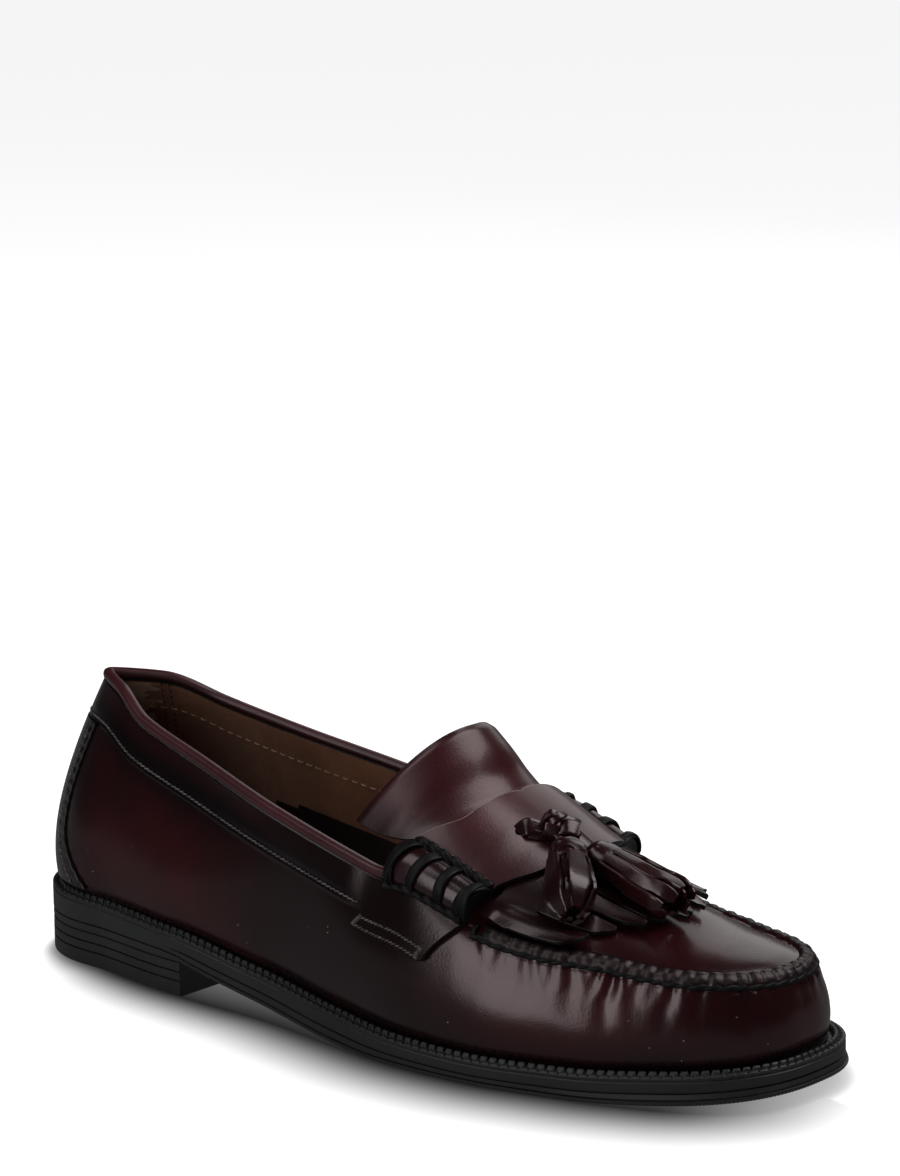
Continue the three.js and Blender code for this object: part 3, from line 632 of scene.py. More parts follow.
def edge_paint(name, low, high):
    shader = Shader(name, 0.42, coat=0.15)
    shader.colour(shader.ramp(shader.noise(300, 3), [(0.35, linear(*low)), (0.7, linear(*high))]))
    shader.bump((shader.noise(700, 3), 0.05))
    return shader.material


def seam_leather():
    """The gathered leather of the seam, dull between its stitches."""
    shader = Shader("seam_leather", 0.42, coat=0.05, specular=0.5, tint=WARM)
    black = linear(8, 6, 7)
    plates = shader.ramp(shader.noise(60, 2), [(0.35, linear(20, 9, 11)), (0.75, linear(38, 13, 17))])
    shader.colour(shader.blend(plates, black, shader.attribute("shade")))
    shader.bump((shader.noise(500, 3), 0.06))
    return shader.material


def black_thong():
    shader = Shader("black_thong", 0.5, specular=0.22)
    shader.colour(shader.ramp(shader.noise(250, 3), [(0.3, linear(6, 6, 7)), (0.75, linear(14, 13, 14))]))
    shader.bump((shader.noise(900, 4), 0.05), (shader.spots(1200), 0.02))
    return shader.material


def suede(name, low, high):
    shader = Shader(name, 0.95, specular=0.15)
    shader.skin.inputs["Sheen Weight"].default_value = 0.35
    shader.skin.inputs["Sheen Roughness"].default_value = 0.5
    patches = shader.noise(35, 4)
    nap = shader.noise(900, 4, 0.7)
    base = shader.ramp(patches, [(0.3, linear(*low)), (0.7, linear(*high))])
    shade = shader.attribute("shade")
    mottled = shader.blend(base, linear(24, 13, 9), shader.times(nap, 0.45))
    shader.colour(shader.blend(mottled, linear(14, 8, 6), shade))
    shader.bump((nap, 0.18))
    return shader.material


def black_rubber():
    shader = Shader("black_rubber", 0.46, coat=0.0)
    shader.colour(shader.ramp(shader.noise(40, 4), [(0.3, linear(26, 27, 29)), (0.75, linear(36, 37, 39))]))
    shader.rough(shader.noise(90, 4), 0.4, 0.55)
    shader.bump((shader.noise(350, 3), 0.03), (shader.spots(2200), 0.01))
    return shader.material


def thread(name, low, high):
    shader = Shader(name, 0.6)
    shader.colour(shader.ramp(shader.noise(900, 2), [(0.3, linear(*low)), (0.7, linear(*high))]))
    shader.bump((shader.noise(2500, 2), 0.05))
    return shader.material


# Polished leathers: bright and dark colour, range of roughness, and how much coat lies on them
BURGUNDY = polished_leather("burgundy_leather", (54, 11, 15), (32, 7, 10), (0.2, 0.28), 0.2)
# Tongue and strap: rougher than the burgundy, and lighter in colour; the lighter colour partly stands in for
# the broad soft reflection they catch, as painted reflection
TONGUE_LEATHER = polished_leather("tongue_leather", (66, 21, 26), (44, 13, 17), (0.27, 0.35), 0.15)
ROLL_LEATHER = polished_leather("roll_leather", (40, 12, 15), (24, 8, 10), (0.22, 0.3), 0.25)
TASSEL_LEATHER = polished_leather("tassel_leather", (48, 12, 16), (20, 6, 8), (0.2, 0.3), 0.25)
BINDING_LEATHER = polished_leather("binding_leather", (64, 22, 28), (48, 15, 20), (0.34, 0.44), 0.2)
INSOLE_LEATHER = polished_leather("insole_leather", (30, 10, 10), (20, 7, 7), (0.5, 0.6), 0.05)
EDGE = edge_paint("edge_paint", (9, 8, 9), (22, 20, 21))
# Pale paint used as a painted highlight: the thin strip along the strap's rear edge
EDGE_HIGHLIGHT_PAINT = edge_paint("painted_edge_highlight", (90, 62, 60), (130, 96, 92))
SEAM_LEATHER = seam_leather()
THONG = black_thong()
SUEDE = suede("brown_suede", (116, 74, 50), (160, 106, 72))
RUBBER = black_rubber()
DARK_THREAD = thread("dark_thread", (24, 22, 23), (104, 96, 96))
PALE_THREAD = thread("pale_thread", (150, 116, 90), (205, 170, 140))
# A fuzzy, worn patch of suede at the heel, made paler still as painted light for the light that falls inside
# the heel
WORN_AND_LIT_SUEDE = suede("fuzzy_suede_and_painted_light", (150, 118, 94), (215, 182, 155))
DUST = thread("dust", (150, 140, 135), (210, 205, 200))
# Near-black: the lining's dark seams, and painted shade for the pin holes and the tassels' cores
SHADE_AND_SEAM_BLACK = thread("painted_shade_and_seam_black", (4, 3, 3), (7, 5, 5))


# Small parts that are repeated along a line
def resample(points, spacing):
    """Places along a line of points, with the distance from its start."""
    length = distances(points)
    count = max(2, int(round(length[-1] / spacing)) + 1)
    at = np.linspace(0, length[-1], count)
    return np.stack([np.interp(at, length, points[:, i]) for i in range(3)], axis=1), at


def directions(points):
    return unit(np.gradient(points, axis=0))


def ribbon(points, normals, width, thickness, corners=8, taper=None, flat=3.0):
    """A band with rounded edges that follows points and faces along normals."""
    ahead = directions(points)
    side = unit(np.cross(normals, ahead))
    up = unit(np.cross(ahead, side))
    across, rise = rounded_square(circle_angles(corners) + math.pi / corners, 2 / flat)
    size = np.ones(len(points)) if taper is None else np.asarray(taper)
    half = (width * size / 2)[:, None, None]
    tall = (thickness * size / 2)[:, None, None]
    rings = points[:, None] + side[:, None] * across[None, :, None] * half
    return tube(rings + up[:, None] * rise[None, :, None] * tall)


def stitches(points, normals, pitch=2.6, length=1.7, width=0.55, height=0.25, slant=0.0):
    """Short rounded stitches laid along a line, each sunk at its ends."""
    line, at = resample(points, pitch)
    given = np.linspace(0, at[-1], len(normals))
    facing = unit(np.stack([np.interp(at, given, normals[:, i]) for i in range(3)], axis=1))
    ahead = directions(line)
    side = unit(np.cross(facing, ahead))
    parts = []
    for centre, up, forward, out in zip(line, facing, ahead, side):
        turned = unit(forward + out * slant)
        along_it = np.linspace(-0.5, 0.5, 5)
        arch = height * (1 - (2 * along_it) ** 2) - 0.12
        path = centre + turned * (along_it * length)[:, None] + up * arch[:, None]
        parts.append(ribbon(path, np.tile(up, (5, 1)), width, width, corners=6, flat=2))
    return merged(parts)


# Outsole and heel
def ring_places(count):
    return np.linspace(-1, 1, count, endpoint=False)


def sole_ring(q, height, inset):
    """The sole's outline drawn in by inset, at a height."""
    point = inset_outline(q, inset + 0 * q)
    point[..., 2] = height
    return point


def level_faces(count, size):
    """Faces between stacked rings of equal length."""
    faces = []
    for i in range(count - 1):
        for j in range(size):
            k = (j + 1) % size
            faces.append((i * size + j, i * size + k, (i + 1) * size + k, (i + 1) * size + j))
    return faces


def capped(levels):
    """A solid of stacked rings that run round the shoe from the toe and back, closed by strips across."""
    count, size = levels.shape[:2]
    faces = level_faces(count, size)
    base = (count - 1) * size
    for j in range(size // 2):
        across = [j, (j + 1) % size, (size - 1 - j) % size, (size - j) % size]
        across = list(dict.fromkeys(across))
        if len(across) > 2:
            faces.append(tuple(reversed(across)))
            faces.append(tuple(base + i for i in across))
    return levels.reshape(-1, 3), faces


# Grooves of the sole's side: the upper one's share of the height, the lower one's height behind and in front
SIDE_GROOVE = 0.52
EDGE_GROOVE = (3, 1.7)
GROOVE = 0.7
TREAD_PITCH = 1.25
TREAD_DEPTH = 0.35
SOFT_EDGE = 0.35


def outsole():
    count = 2400
    q = ring_places(count)
    x = sole_outline(q)[..., 0]
    waist = smooth_step(HEEL_BREAST - 12, HEEL_BREAST + 4, x)
    front = smooth_step(HEEL_BREAST + 2, HEEL_BREAST + 14, x)
    flare = -TOE_FLARE * smooth_step(0.75, 0.97, x / SOLE_LENGTH)
    round_it = np.cumsum(np.linalg.norm(sole_outline(q) - sole_outline(q - 2 / count), axis=1))
    rib = TREAD_DEPTH * front * (0.5 + 0.5 * np.sin(2 * np.pi * round_it / TREAD_PITCH))
    bed, floor = bed_top(x), underside(x)
    middle = mix(floor, bed, SIDE_GROOVE)
    lower = floor + mix(*EDGE_GROOVE, waist)
    half = GROOVE / 2
    levels = [
        (bed, SOFT_EDGE),
        (bed - SOFT_EDGE, 0),
        (middle + half, 0),
        (middle + half * 0.4, GROOVE * waist),
        (middle - half * 0.4, GROOVE * waist),
        (middle - half, 0.05 * waist),
        (lower + half, flare * 0.6),
        (lower + half * 0.3, flare + GROOVE),
        (lower - half * 0.3, flare + GROOVE),
        (lower - half, flare + 0.1),
        (floor + 0.9 - 0.2 * front, flare + rib * 0.3),
        (floor + 0.5, flare + 0.15 + rib),
        (floor, flare + 0.5 + rib),
        (floor, flare + 3),
    ]
    points, faces = capped(np.array([sole_ring(q, height, inset) for height, inset in levels]))
    piece("outsole_rubber", points, faces, [RUBBER], "sole", ["outsole"], angle=35)


def heel():
    breast = math.acos(1 - 2 * HEEL_BREAST / SOLE_LENGTH) / math.pi
    q = np.linspace(-breast, breast, 200)
    top = HEEL_HEIGHT - 0.02
    grooves = [0.728 * HEEL_HEIGHT, 0.456 * HEEL_HEIGHT]
    heights = [(top, 0.6), (top - 0.15, 0.1)]
    for z in grooves:
        heights += [(z + 0.3, 0), (z + 0.12, 0.7), (z - 0.12, 0.7), (z - 0.3, 0)]
    heights += [(0.6, 0), (0.2, 0.15), (0, 0.6)]
    levels = np.array([sole_ring(q, z, inset) for z, inset in heights])
    levels[..., 0] = np.minimum(levels[..., 0], HEEL_BREAST)
    count, size = levels.shape[:2]
    faces = level_faces(count, size)
    base = (count - 1) * size
    for j in range(size // 2 - 1):
        across = (j, j + 1, size - 2 - j, size - 1 - j)
        faces.append(tuple(reversed(across)))
        faces.append(tuple(base + i for i in across))
    piece("heel_rubber", levels.reshape(-1, 3), faces, [RUBBER], "sole", ["heel"], angle=35)


# Welt: two rows of beads on a strip round the shoe
def welt():
    beads = 214
    per_bead = 10
    q_fine = ring_places(4000)
    outline = sole_outline(q_fine)
    steps = np.linalg.norm(np.roll(outline, -1, axis=0) - outline, axis=1)
    length = np.concatenate([[0], np.cumsum(steps)])
    at = np.linspace(0, length[-1], beads * per_bead, endpoint=False)
    q = np.interp(at, length, np.append(q_fine, 1.0))
    phase = np.arange(beads * per_bead) / per_bead
    bead, other = [np.clip(1.7 * np.abs(np.sin(np.pi * (phase + shift))), 0, 1) ** 0.7 for shift in (0, 0.5)]
    reach = welt_reach(q) - CLEARANCE
    low = 0.95
    lip = 2.3
    # Across the strip: how far in from the edge, how high, and how high the outer and inner beads stand there
    shape = [
        (0.25, CLEARANCE - 0.25, 0, 0),
        (0.0, 0.9, 0, 0),
        (0.05, 1.0, 0.2, 0),
        (0.25, low, 0.55, 0),
        (0.75, low, 0.75, 0),
        (1.45, low, 0.75, 0),
        (lip - 0.5, low, 0.35, 0),
        (lip - 0.25, low, 0, 0.2),
        (lip - 0.05, 1.0, 0, 0.9),
        (lip + 0.3, 1.05, 0, 1.5),
        (lip + 1.05, 1.05, 0, 1.6),
        (lip + 1.6, 1.0, 0, 1.1),
        (lip + 1.9, 0.85, 0, 0),
        (reach, low, 0, 0),
        (reach, CLEARANCE - 0.25, 0, 0),
    ]
    rings = []
    for inset, rise, first, second in shape:
        ring = inset_outline(q, np.minimum(inset, reach))
        ring[:, 2] = bed_top(ring[:, 0]) + rise + first * bead + second * other
        rings.append(ring)
    points, faces = tube(np.array(rings).transpose(1, 0, 2), closed=True)
    piece("welt_strip", points, faces, [RUBBER], "welt", ["welt"], angle=70)


# Insole, and the rows of pin holes where the sock goes up the inner side, drawn as black discs that are
# painted shade for the holes
HOLE_ROWS = (0.28, 0.345, 0.41)
HOLE_START = 0.335
HOLE_END = 0.46
HOLE_PITCH = 0.0125
HOLE_RADIUS = 0.8
INSOLE_SOFT = (0.6, 0.4)


def insole():
    q = ring_places(400)
    gap = welt_reach(q) + WALL + 2 * CLEARANCE
    bed = bed_top(sole_outline(q)[..., 0])
    top = CLEARANCE + INSOLE_THICKNESS
    inset, drop = INSOLE_SOFT
    levels = [(top, inset), (top - drop, 0), (CLEARANCE, 0)]
    points, faces = capped(np.array([sole_ring(q, bed + rise, gap + more) for rise, more in levels]))
    shade = np.full(len(points), 0.1)
    piece("insole_sock", points, faces, [INSOLE_LEATHER], "lining", ["insole"], shade=shade)
    parts = []
    across, rise = [value[:, None] for value in rounded_square(circle_angles(12), 1)]
    for row, v in enumerate(HOLE_ROWS):
        for place in np.arange(HOLE_START, HOLE_END, HOLE_PITCH) + HOLE_PITCH * 0.48 * (row % 2):
            out = plan_normal(sole_outline, np.array(place))
            ahead = np.cross(UP, out)
            middle = wall_point(place, v) - out * (WALL + 0.03)
            ring = middle + HOLE_RADIUS * (across * ahead + rise * UP)
            parts.append(tube(np.array([ring, ring + out * 0.2])))
    joined("insole_holes", parts, SHADE_AND_SEAM_BLACK, "lining")


# Upper
THROAT_PLACE = float(top_place(THROAT * SOLE_LENGTH))
BACK_COUNT = 200
FRONT_COUNT = 176
SIDE_PLACES = np.concatenate(
    [np.linspace(0, THROAT_PLACE, BACK_COUNT + 1), np.linspace(THROAT_PLACE, 1, FRONT_COUNT + 1)[1:]]
)
RING = np.concatenate([-SIDE_PLACES[:0:-1], SIDE_PLACES[:-1]])
DROPS = np.array(
    [0, 0.5, 1, 1.5, 2, 2.4, 2.8, 3.3, 4, 5, 6, 7.2, 8.6, 10, 11.4, 12.5, 12.9, 13.15, 13.5, 14.5, 16.5, 19]
)
LOWER_ROWS = 20
VAMP_COLUMNS = 92

# Gathers below the seam, listed one by one: distance along the seam from the toe's middle, with the outer
# side negative, how far they run down, how deep and how wide the crease is, and how far it leans
GATHERS = [
    (-126, 7, 0.3, 1.6, 2), (-121.5, 9, 0.4, 1.5, 5), (-117, 6, 0.35, 1.2, 4), (-112.5, 10, 0.45, 1.7, 6),
    (-108, 7, 0.35, 1.2, 3), (-103, 12, 0.55, 1.6, 5), (-99, 6, 0.4, 1.1, 2), (-94, 14, 0.7, 1.7, 4),
    (-90.5, 8, 0.45, 1.2, 1), (-85, 17, 0.8, 1.9, 3), (-81, 9, 0.5, 1.2, 4), (-76.5, 12, 0.6, 1.4, 1),
    (-71, 19, 0.9, 2.0, 3), (-67.5, 8, 0.5, 1.1, -1), (-62, 13, 0.7, 1.5, 2), (-57, 21, 0.95, 2.1, 1),
    (-52.5, 9, 0.5, 1.2, 3), (-48, 14, 0.75, 1.5, -1), (-42.5, 10, 0.6, 1.3, 2), (-38, 20, 1.0, 2.0, -2),
    (-33.5, 9, 0.5, 1.2, 0), (-29, 23, 1.1, 2.1, -5), (-25, 12, 0.6, 1.3, -4), (-20, 26, 1.15, 2.1, 4),
    (-15.5, 12, 0.6, 1.3, 2), (-10.5, 20, 0.9, 1.8, 3), (-6, 9, 0.5, 1.2, 0), (-1, 14, 0.7, 1.6, 1),
    (4, 9, 0.5, 1.3, -1), (9, 16, 0.8, 1.8, 0), (14.5, 10, 0.55, 1.3, -2), (20, 15, 0.8, 1.7, 1),
    (26, 9, 0.5, 1.3, 0), (31, 18, 0.9, 1.9, -1), (37, 10, 0.55, 1.3, 2), (43, 15, 0.8, 1.7, 0),
    (49, 9, 0.5, 1.3, -1), (55, 16, 0.85, 1.8, -2), (62, 10, 0.55, 1.4, 0), (69, 14, 0.75, 1.7, -3),
    (76, 9, 0.5, 1.3, -1), (83, 14, 0.65, 1.7, -3), (91, 9, 0.5, 1.4, -2), (99, 12, 0.55, 1.6, -4),
    (108, 8, 0.4, 1.4, -3), (117, 9, 0.4, 1.6, -4), (126, 6, 0.3, 1.5, -2),
]
# Soft troughs and ridges of the wall: place round the shoe, share up the wall, half sizes, height in mm
WAVES = [
    (-0.62, 0.5, 0.05, 0.35, -0.7), (-0.55, 0.45, 0.035, 0.3, 0.5), (-0.47, 0.5, 0.04, 0.3, -0.5),
    (-0.3, 0.45, 0.06, 0.3, -0.6), (-0.17, 0.5, 0.04, 0.3, 0.4), (0.3, 0.45, 0.06, 0.3, -0.6),
    (0.47, 0.5, 0.04, 0.3, -0.5), (0.6, 0.5, 0.05, 0.35, -0.6),
]
STITCH_PITCH = 4.0
STITCHED_HALF = 132
SEAM_STITCHES_START = 0.676
PLATE_HALF = 2.7
BAND_STITCH_INSET = 1.5


def seam_line():
    """Fine samples of the top line, their place round the shoe and distance from the toe's middle."""
    q = np.linspace(-1, 1, 4001)
    points = top_line(q)
    length = distances(points)
    total = length[-1]
    signed = np.where(q < 0, -length, total - length)
    return q, points, signed


SEAM_Q, SEAM_POINTS, SEAM_S = seam_line()


def seam_distance(points):
    """Distance to the seam and the seam's own length coordinate at the nearest place."""
    thin = slice(None, None, 4)
    samples, lengths = SEAM_POINTS[thin], SEAM_S[thin]
    distance = np.empty(len(points))
    nearest = np.empty(len(points))
    for start in range(0, len(points), 2000):
        block = points[start : start + 2000]
        gap = np.linalg.norm(block[:, None] - samples[None], axis=2)
        best = gap.argmin(axis=1)
        distance[start : start + 2000] = gap[np.arange(len(block)), best]
        nearest[start : start + 2000] = lengths[best]
    return distance, nearest


def stitch_pull(s, half):
    """1 where a stitch lies over the seam, falling to 0 between two stitches."""
    return bump_at(((s / STITCH_PITCH + 0.5) % 1 - 0.5) * STITCH_PITCH, 0, half)


def ridge(distance, s):
    """The raised seam: a rounded roll that each stitch pulls in."""
    half = SEAM_WIDTH / 2 + 0.5
    profile = np.clip(1 - (distance / half) ** 2.6, 0, 1) ** 0.6
    uneven = 1 + 0.06 * np.sin(s * 0.9)
    return SEAM_RELIEF * profile * (uneven - 0.22 * stitch_pull(s, 0.8))


def gathers(drop, s):
    """Pillows of leather between narrow creases, which open out and fade as they run down."""
    below = np.clip(drop - SEAM_WIDTH / 2, 0, None) / 1.25
    crease = np.zeros_like(drop)
    lift = np.zeros_like(drop)
    for at, reach, deep, wide, lean in GATHERS:
        run = below / reach
        centre = at + lean * run + 0.35 * np.sin(below * 0.55 + at)
        spread = wide * (0.7 + 1.1 * np.clip(run, 0, 1))
        across = (s - centre) / spread
        fade = np.clip(1 - run, 0, 1) ** 1.8
        crease = np.maximum(crease, deep * np.exp(-np.abs(across) ** 1.5) * fade)
        lift = np.maximum(lift, deep * np.exp(-((np.abs(across) - 1.7) ** 2)) * fade)
    start = smooth_step(-0.3, 1.2, below)
    swell = 0.7 * bump_at(below, 2.6, 2.2) * (np.abs(s) < 130)
    fine = 0.05 * np.sin(2 * np.pi * s / 1.9 + 1.7 * np.sin(s / 5)) * np.exp(-below / 3.5)
    uneven = 0.75 + 0.35 * np.sin(s * 0.21 + 1) * np.sin(s * 0.083)
    return start * (uneven * (0.5 * lift - 0.85 * crease) + fine * (np.abs(s) < 135)) + swell


def upper():
    lengths = wall_length(RING)
    near = 1 - DROPS[None, ::-1] / lengths[:, None]
    far = np.linspace(0, 1, LOWER_ROWS, endpoint=False)[None] * near[:, :1]
    v = np.concatenate([far, near], axis=1)
    wall = wall_point(RING[:, None], v)
    foot = feather_line(RING)[:, None]
    wall = np.concatenate([foot, wall], axis=1)
    around, rows = wall.shape[:2]
    points = wall.reshape(-1, 3)
    faces = grid_faces(around, rows, closed=True)

    # The vamp shares the seam's points with the wall. Both sides meet at the toe, where i = 0.
    columns = VAMP_COLUMNS
    u = np.linspace(-1, 1, columns)
    w = np.sin(np.pi / 2 * u)
    places = SIDE_PLACES[::-1][: FRONT_COUNT + 1]
    inner = vamp_point(places[1:, None], w[None, 1:-1])
    start = len(points)
    top_of = lambda i: ((i + around) % around) * rows + rows - 1
    # RING starts at the toe, so station i counts from it along the outer side
    index = [[top_of(0)] * columns]
    for i in range(1, FRONT_COUNT + 1):
        first = start + (i - 1) * (columns - 2)
        index.append([top_of(i)] + list(range(first, first + columns - 2)) + [top_of(-i)])
    points = np.concatenate([points, inner.reshape(-1, 3)])
    for here, ahead in zip(index, index[1:]):
        for j in range(columns - 1):
            face = list(dict.fromkeys([here[j], ahead[j], ahead[j + 1], here[j + 1]]))
            if len(face) > 2:
                faces.append(tuple(face))

    normals = vertex_normals(points, faces)
    middle = np.array([SOLE_LENGTH / 2, 0, 0])
    probe = (around // 2) * rows + rows // 2
    if normals[probe] @ (points[probe] - middle) < 0:
        normals = -normals
    feet = (np.arange(around) * rows)[:, None] + np.arange(3)
    normals[feet, 2] = 0
    normals = unit(normals)

    distance, s = seam_distance(points)
    x = points[:, 0]
    on_wall = np.zeros(len(points), bool)
    on_wall[: around * rows] = True
    up_wall = np.zeros(len(points))
    up_wall[: around * rows] = np.concatenate([0 * lengths[:, None], v], axis=1).reshape(-1)
    drop = np.zeros(len(points))
    drop[: around * rows] = (1 - up_wall[: around * rows]) * np.repeat(lengths, rows)
    band = 1 - smooth_step(BAND_END - 0.03, BAND_END, x / SOLE_LENGTH)
    band_height = BAND_RELIEF * band * (1 - smooth_step(BAND_WIDTH - 0.05, BAND_WIDTH + 0.2, drop))
    seam = seam_share(x)
    height = np.where(on_wall, band_height, 0) + seam * ridge(distance, s)
    height += np.where(on_wall, seam * gathers(drop, s), 0)

    # A fine groove where the band is stitched down, and the soft waves of the wall
    groove = bump_at(drop, BAND_WIDTH - BAND_STITCH_INSET, 0.45) * band
    height -= np.where(on_wall, 0.22 * groove, 0)
    ring_at = np.zeros(len(points))
    ring_at[: around * rows] = np.repeat(RING, rows)
    for at, up, half_round, half_up, rise in WAVES:
        wave = np.exp(-(((ring_at - at) / half_round) ** 2) - ((up_wall - up) / half_up) ** 2)
        height += np.where(on_wall, rise * wave, 0)
    ends = smooth_step(0, 0.08, up_wall)
    height = np.where(on_wall, height * ends, height)

    outer = points + normals * height[:, None]
    inner_skin = points - normals * OUTER_WALL
    made, all_faces, kinds = closed_skin(outer, inner_skin, faces)

    # Shade: painted shade along the sole, where the welt and sole shade the wall, at the toe's end and in the
    # dips where the stitches pull the seam in; brush-off darkening along the seam, the band and the backstay;
    # and a darker zone round the strap's tab
    place = x / SOLE_LENGTH
    on_band = band * (drop < BAND_WIDTH)
    # Painted shade: the wall darkens towards the welt and sole
    shade = 0.9 * np.exp(-up_wall * lengths.mean() / 6) * on_wall
    burnish_and_shade = [
        (0.62 + 0.36 * smooth_step(2, 9, drop)) * on_band,
        0.92 * band * np.exp(-np.clip(drop - BAND_WIDTH, 0, None) / 7) * (drop >= BAND_WIDTH),
        0.9 * (1 - smooth_step(0.05, 0.14, place)) * on_wall,
        0.85 * smooth_step(0.22, 0.42, place) * (1 - smooth_step(0.6, 0.72, place)) * on_wall,
        0.6 * seam * np.exp(-((distance / 3.6) ** 2)),
        # Painted shade at the toe's end
        0.35 * smooth_step(0.88, 0.97, place),
    ]
    for dark in burnish_and_shade:
        shade = np.maximum(shade, dark)
    on_plate = seam * (distance < PLATE_HALF)
    # Painted shade in the dips where each stitch pulls the seam in, while the plates between the stitches are
    # made lighter
    between = seam * stitch_pull(s, 1.1) * (distance < PLATE_HALF + 0.1)
    shade = np.maximum(shade * (1 - 0.6 * on_plate), between)
    kinds = np.array(kinds)
    kinds[: len(faces)] = np.where([(on_plate[list(face)] > 0.5).all() for face in faces], 3, 0)
    shade = np.concatenate([np.clip(shade, 0, 1), np.full(len(points), 0.4)])
    leathers = [BURGUNDY, SUEDE, EDGE, SEAM_LEATHER]
    piece("upper_leather", made, all_faces, leathers, "upper_leather", ["upper"], kinds, shade, 60)

    # Lining: the inner layer of the wall, in suede
    lining_out = points - normals * (OUTER_WALL + 0.05)
    lining_in = points - normals * WALL
    made, all_faces, kinds = closed_skin(lining_out, lining_in, faces)
    # Painted shade inside the shoe: the lining darkens towards the foot of the wall, and under the vamp
    shade = 0.9 * smooth_step(0.6, 0.0, up_wall) * on_wall
    shade = np.where(on_wall, shade, 0.8)
    shade = np.concatenate([shade, shade])
    # The pale patch at the heel: worn suede, lightened further as painted light
    ragged = 0.1 + 0.012 * np.sin(up_wall * 60) + 0.008 * np.sin(up_wall * 137 + 2)
    patch_foot = 0.62 + 0.05 * np.sin(ring_at * 90)
    heel_patch = on_wall & (np.abs(ring_at) < ragged + 0.03) & (up_wall > patch_foot)
    sock = on_wall & (ring_at > 0.29) & (ring_at < 0.62) & (up_wall < 0.45)
    layer = np.where(heel_patch, 1, np.where(sock, 2, 0))
    patch_faces = layer[[face[0] for face in faces]]
    kinds = np.zeros(len(all_faces), int)
    kinds[: len(faces)] = patch_faces
    kinds[len(faces) : 2 * len(faces)] = patch_faces
    leathers = [SUEDE, WORN_AND_LIT_SUEDE, INSOLE_LEATHER]
    piece("lining_suede", made, all_faces, leathers, "lining", kinds=kinds, shade=shade)
    seam_thread()
    band_thread()
    lining_thread()


def seam_thread():
    """Black whip stitches over the raised seam, and the cord along its lower edge."""
    first = SEAM_STITCHES_START * SOLE_LENGTH
    strands = []
    for s in np.arange(-STITCHED_HALF, STITCHED_HALF + 0.1, STITCH_PITCH):
        q = float(np.interp(abs(s), *seam_lookup(s)))
        if top_x(wrap(q)) > first:
            strands.append(stitch_over(q, s))
    joined("seam_stitches", strands, THONG, "thong")
    end = THROAT_PLACE + 0.05
    q = np.concatenate([np.linspace(-end, -1, 600), np.linspace(1, end, 600)[1:]])
    q = q[top_x(wrap(q)) > first]
    line, out, down = seam_frame(q)
    at = distances(line)
    cords = []
    for phase, radius in ((0, 0.9), (math.pi, 0.75)):
        turn = 2 * math.pi * at / (2 * STITCH_PITCH) + phase
        twist = out * (0.35 + 0.3 * np.sin(turn))[:, None] + down * (0.3 * np.cos(turn))[:, None]
        cords.append(ribbon(line + down * 2.9 + twist, out, radius * 2, radius * 2, corners=10, flat=2))
    joined("seam_cord", cords, THONG, "thong")


def seam_lookup(s):
    side = SEAM_Q < 0 if s < 0 else SEAM_Q >= 0
    lengths = np.abs(SEAM_S[side])
    order = np.argsort(lengths)
    return lengths[order], SEAM_Q[side][order]


def seam_frame(q):
    """The seam's points with the direction up out of the corner and the direction down the wall."""
    line = top_line(q)
    below = wall_point(q, 0.9)
    down = unit(below - line)
    out = plan_normal(top_line, q)
    up = unit(out * 0.7 + UP * 0.75)
    return line, up, down


def stitch_over(q, s):
    line, up, down = [value[0] for value in seam_frame(np.array([q]))]
    inward = unit(UP * 0.15 - plan_normal(top_line, np.array([q]))[0])
    ahead = unit(np.cross(up, down))
    lean = 0.3
    t = np.linspace(0, 1, 11)[:, None]
    bulge = np.clip(np.sin(math.pi * t), 0, 1) ** 0.7
    side = (down * (1 - t) + inward * t) * (SEAM_WIDTH / 2 + 0.35)
    path = line + side * (1 - 0.5 * bulge) + up * (0.3 + 1.45 * bulge) + ahead * lean * (t - 0.5) * 2
    facing = unit(path - (line - up * 1.5))
    return ribbon(path, facing, 1.9 + 0.3 * math.sin(s * 1.7), 0.8, corners=10, flat=4)


def wall_line(q, drop, rise):
    """A line on the wall at a drop below the top line, with its outward direction."""
    v = 1 - drop / wall_length(q)
    step = 0.004
    ahead = wall_point(q + step, v) - wall_point(q - step, v)
    up = wall_point(q, v + 0.01) - wall_point(q, v - 0.01)
    out = unit(np.cross(ahead, up))
    flip = np.sign((out * plan_normal(sole_outline, q)).sum(axis=1))
    out = out * flip[:, None]
    return wall_point(q, v) + out * np.asarray(rise)[..., None], out


def band_thread():
    end = float(top_place((BAND_END - 0.01) * SOLE_LENGTH))
    q = np.linspace(-end, end, 900)
    points, out = wall_line(q, BAND_WIDTH - BAND_STITCH_INSET, BAND_RELIEF - 0.1)
    joined("band_stitches", [stitches(points, out, 2.1, 1.9, 0.6, 0.32, slant=0.25)], DARK_THREAD, "thong")


LINING_ROW_DROP = 10.5
LINING_ROW_START = 0.045
LINING_SEAM = 0.155


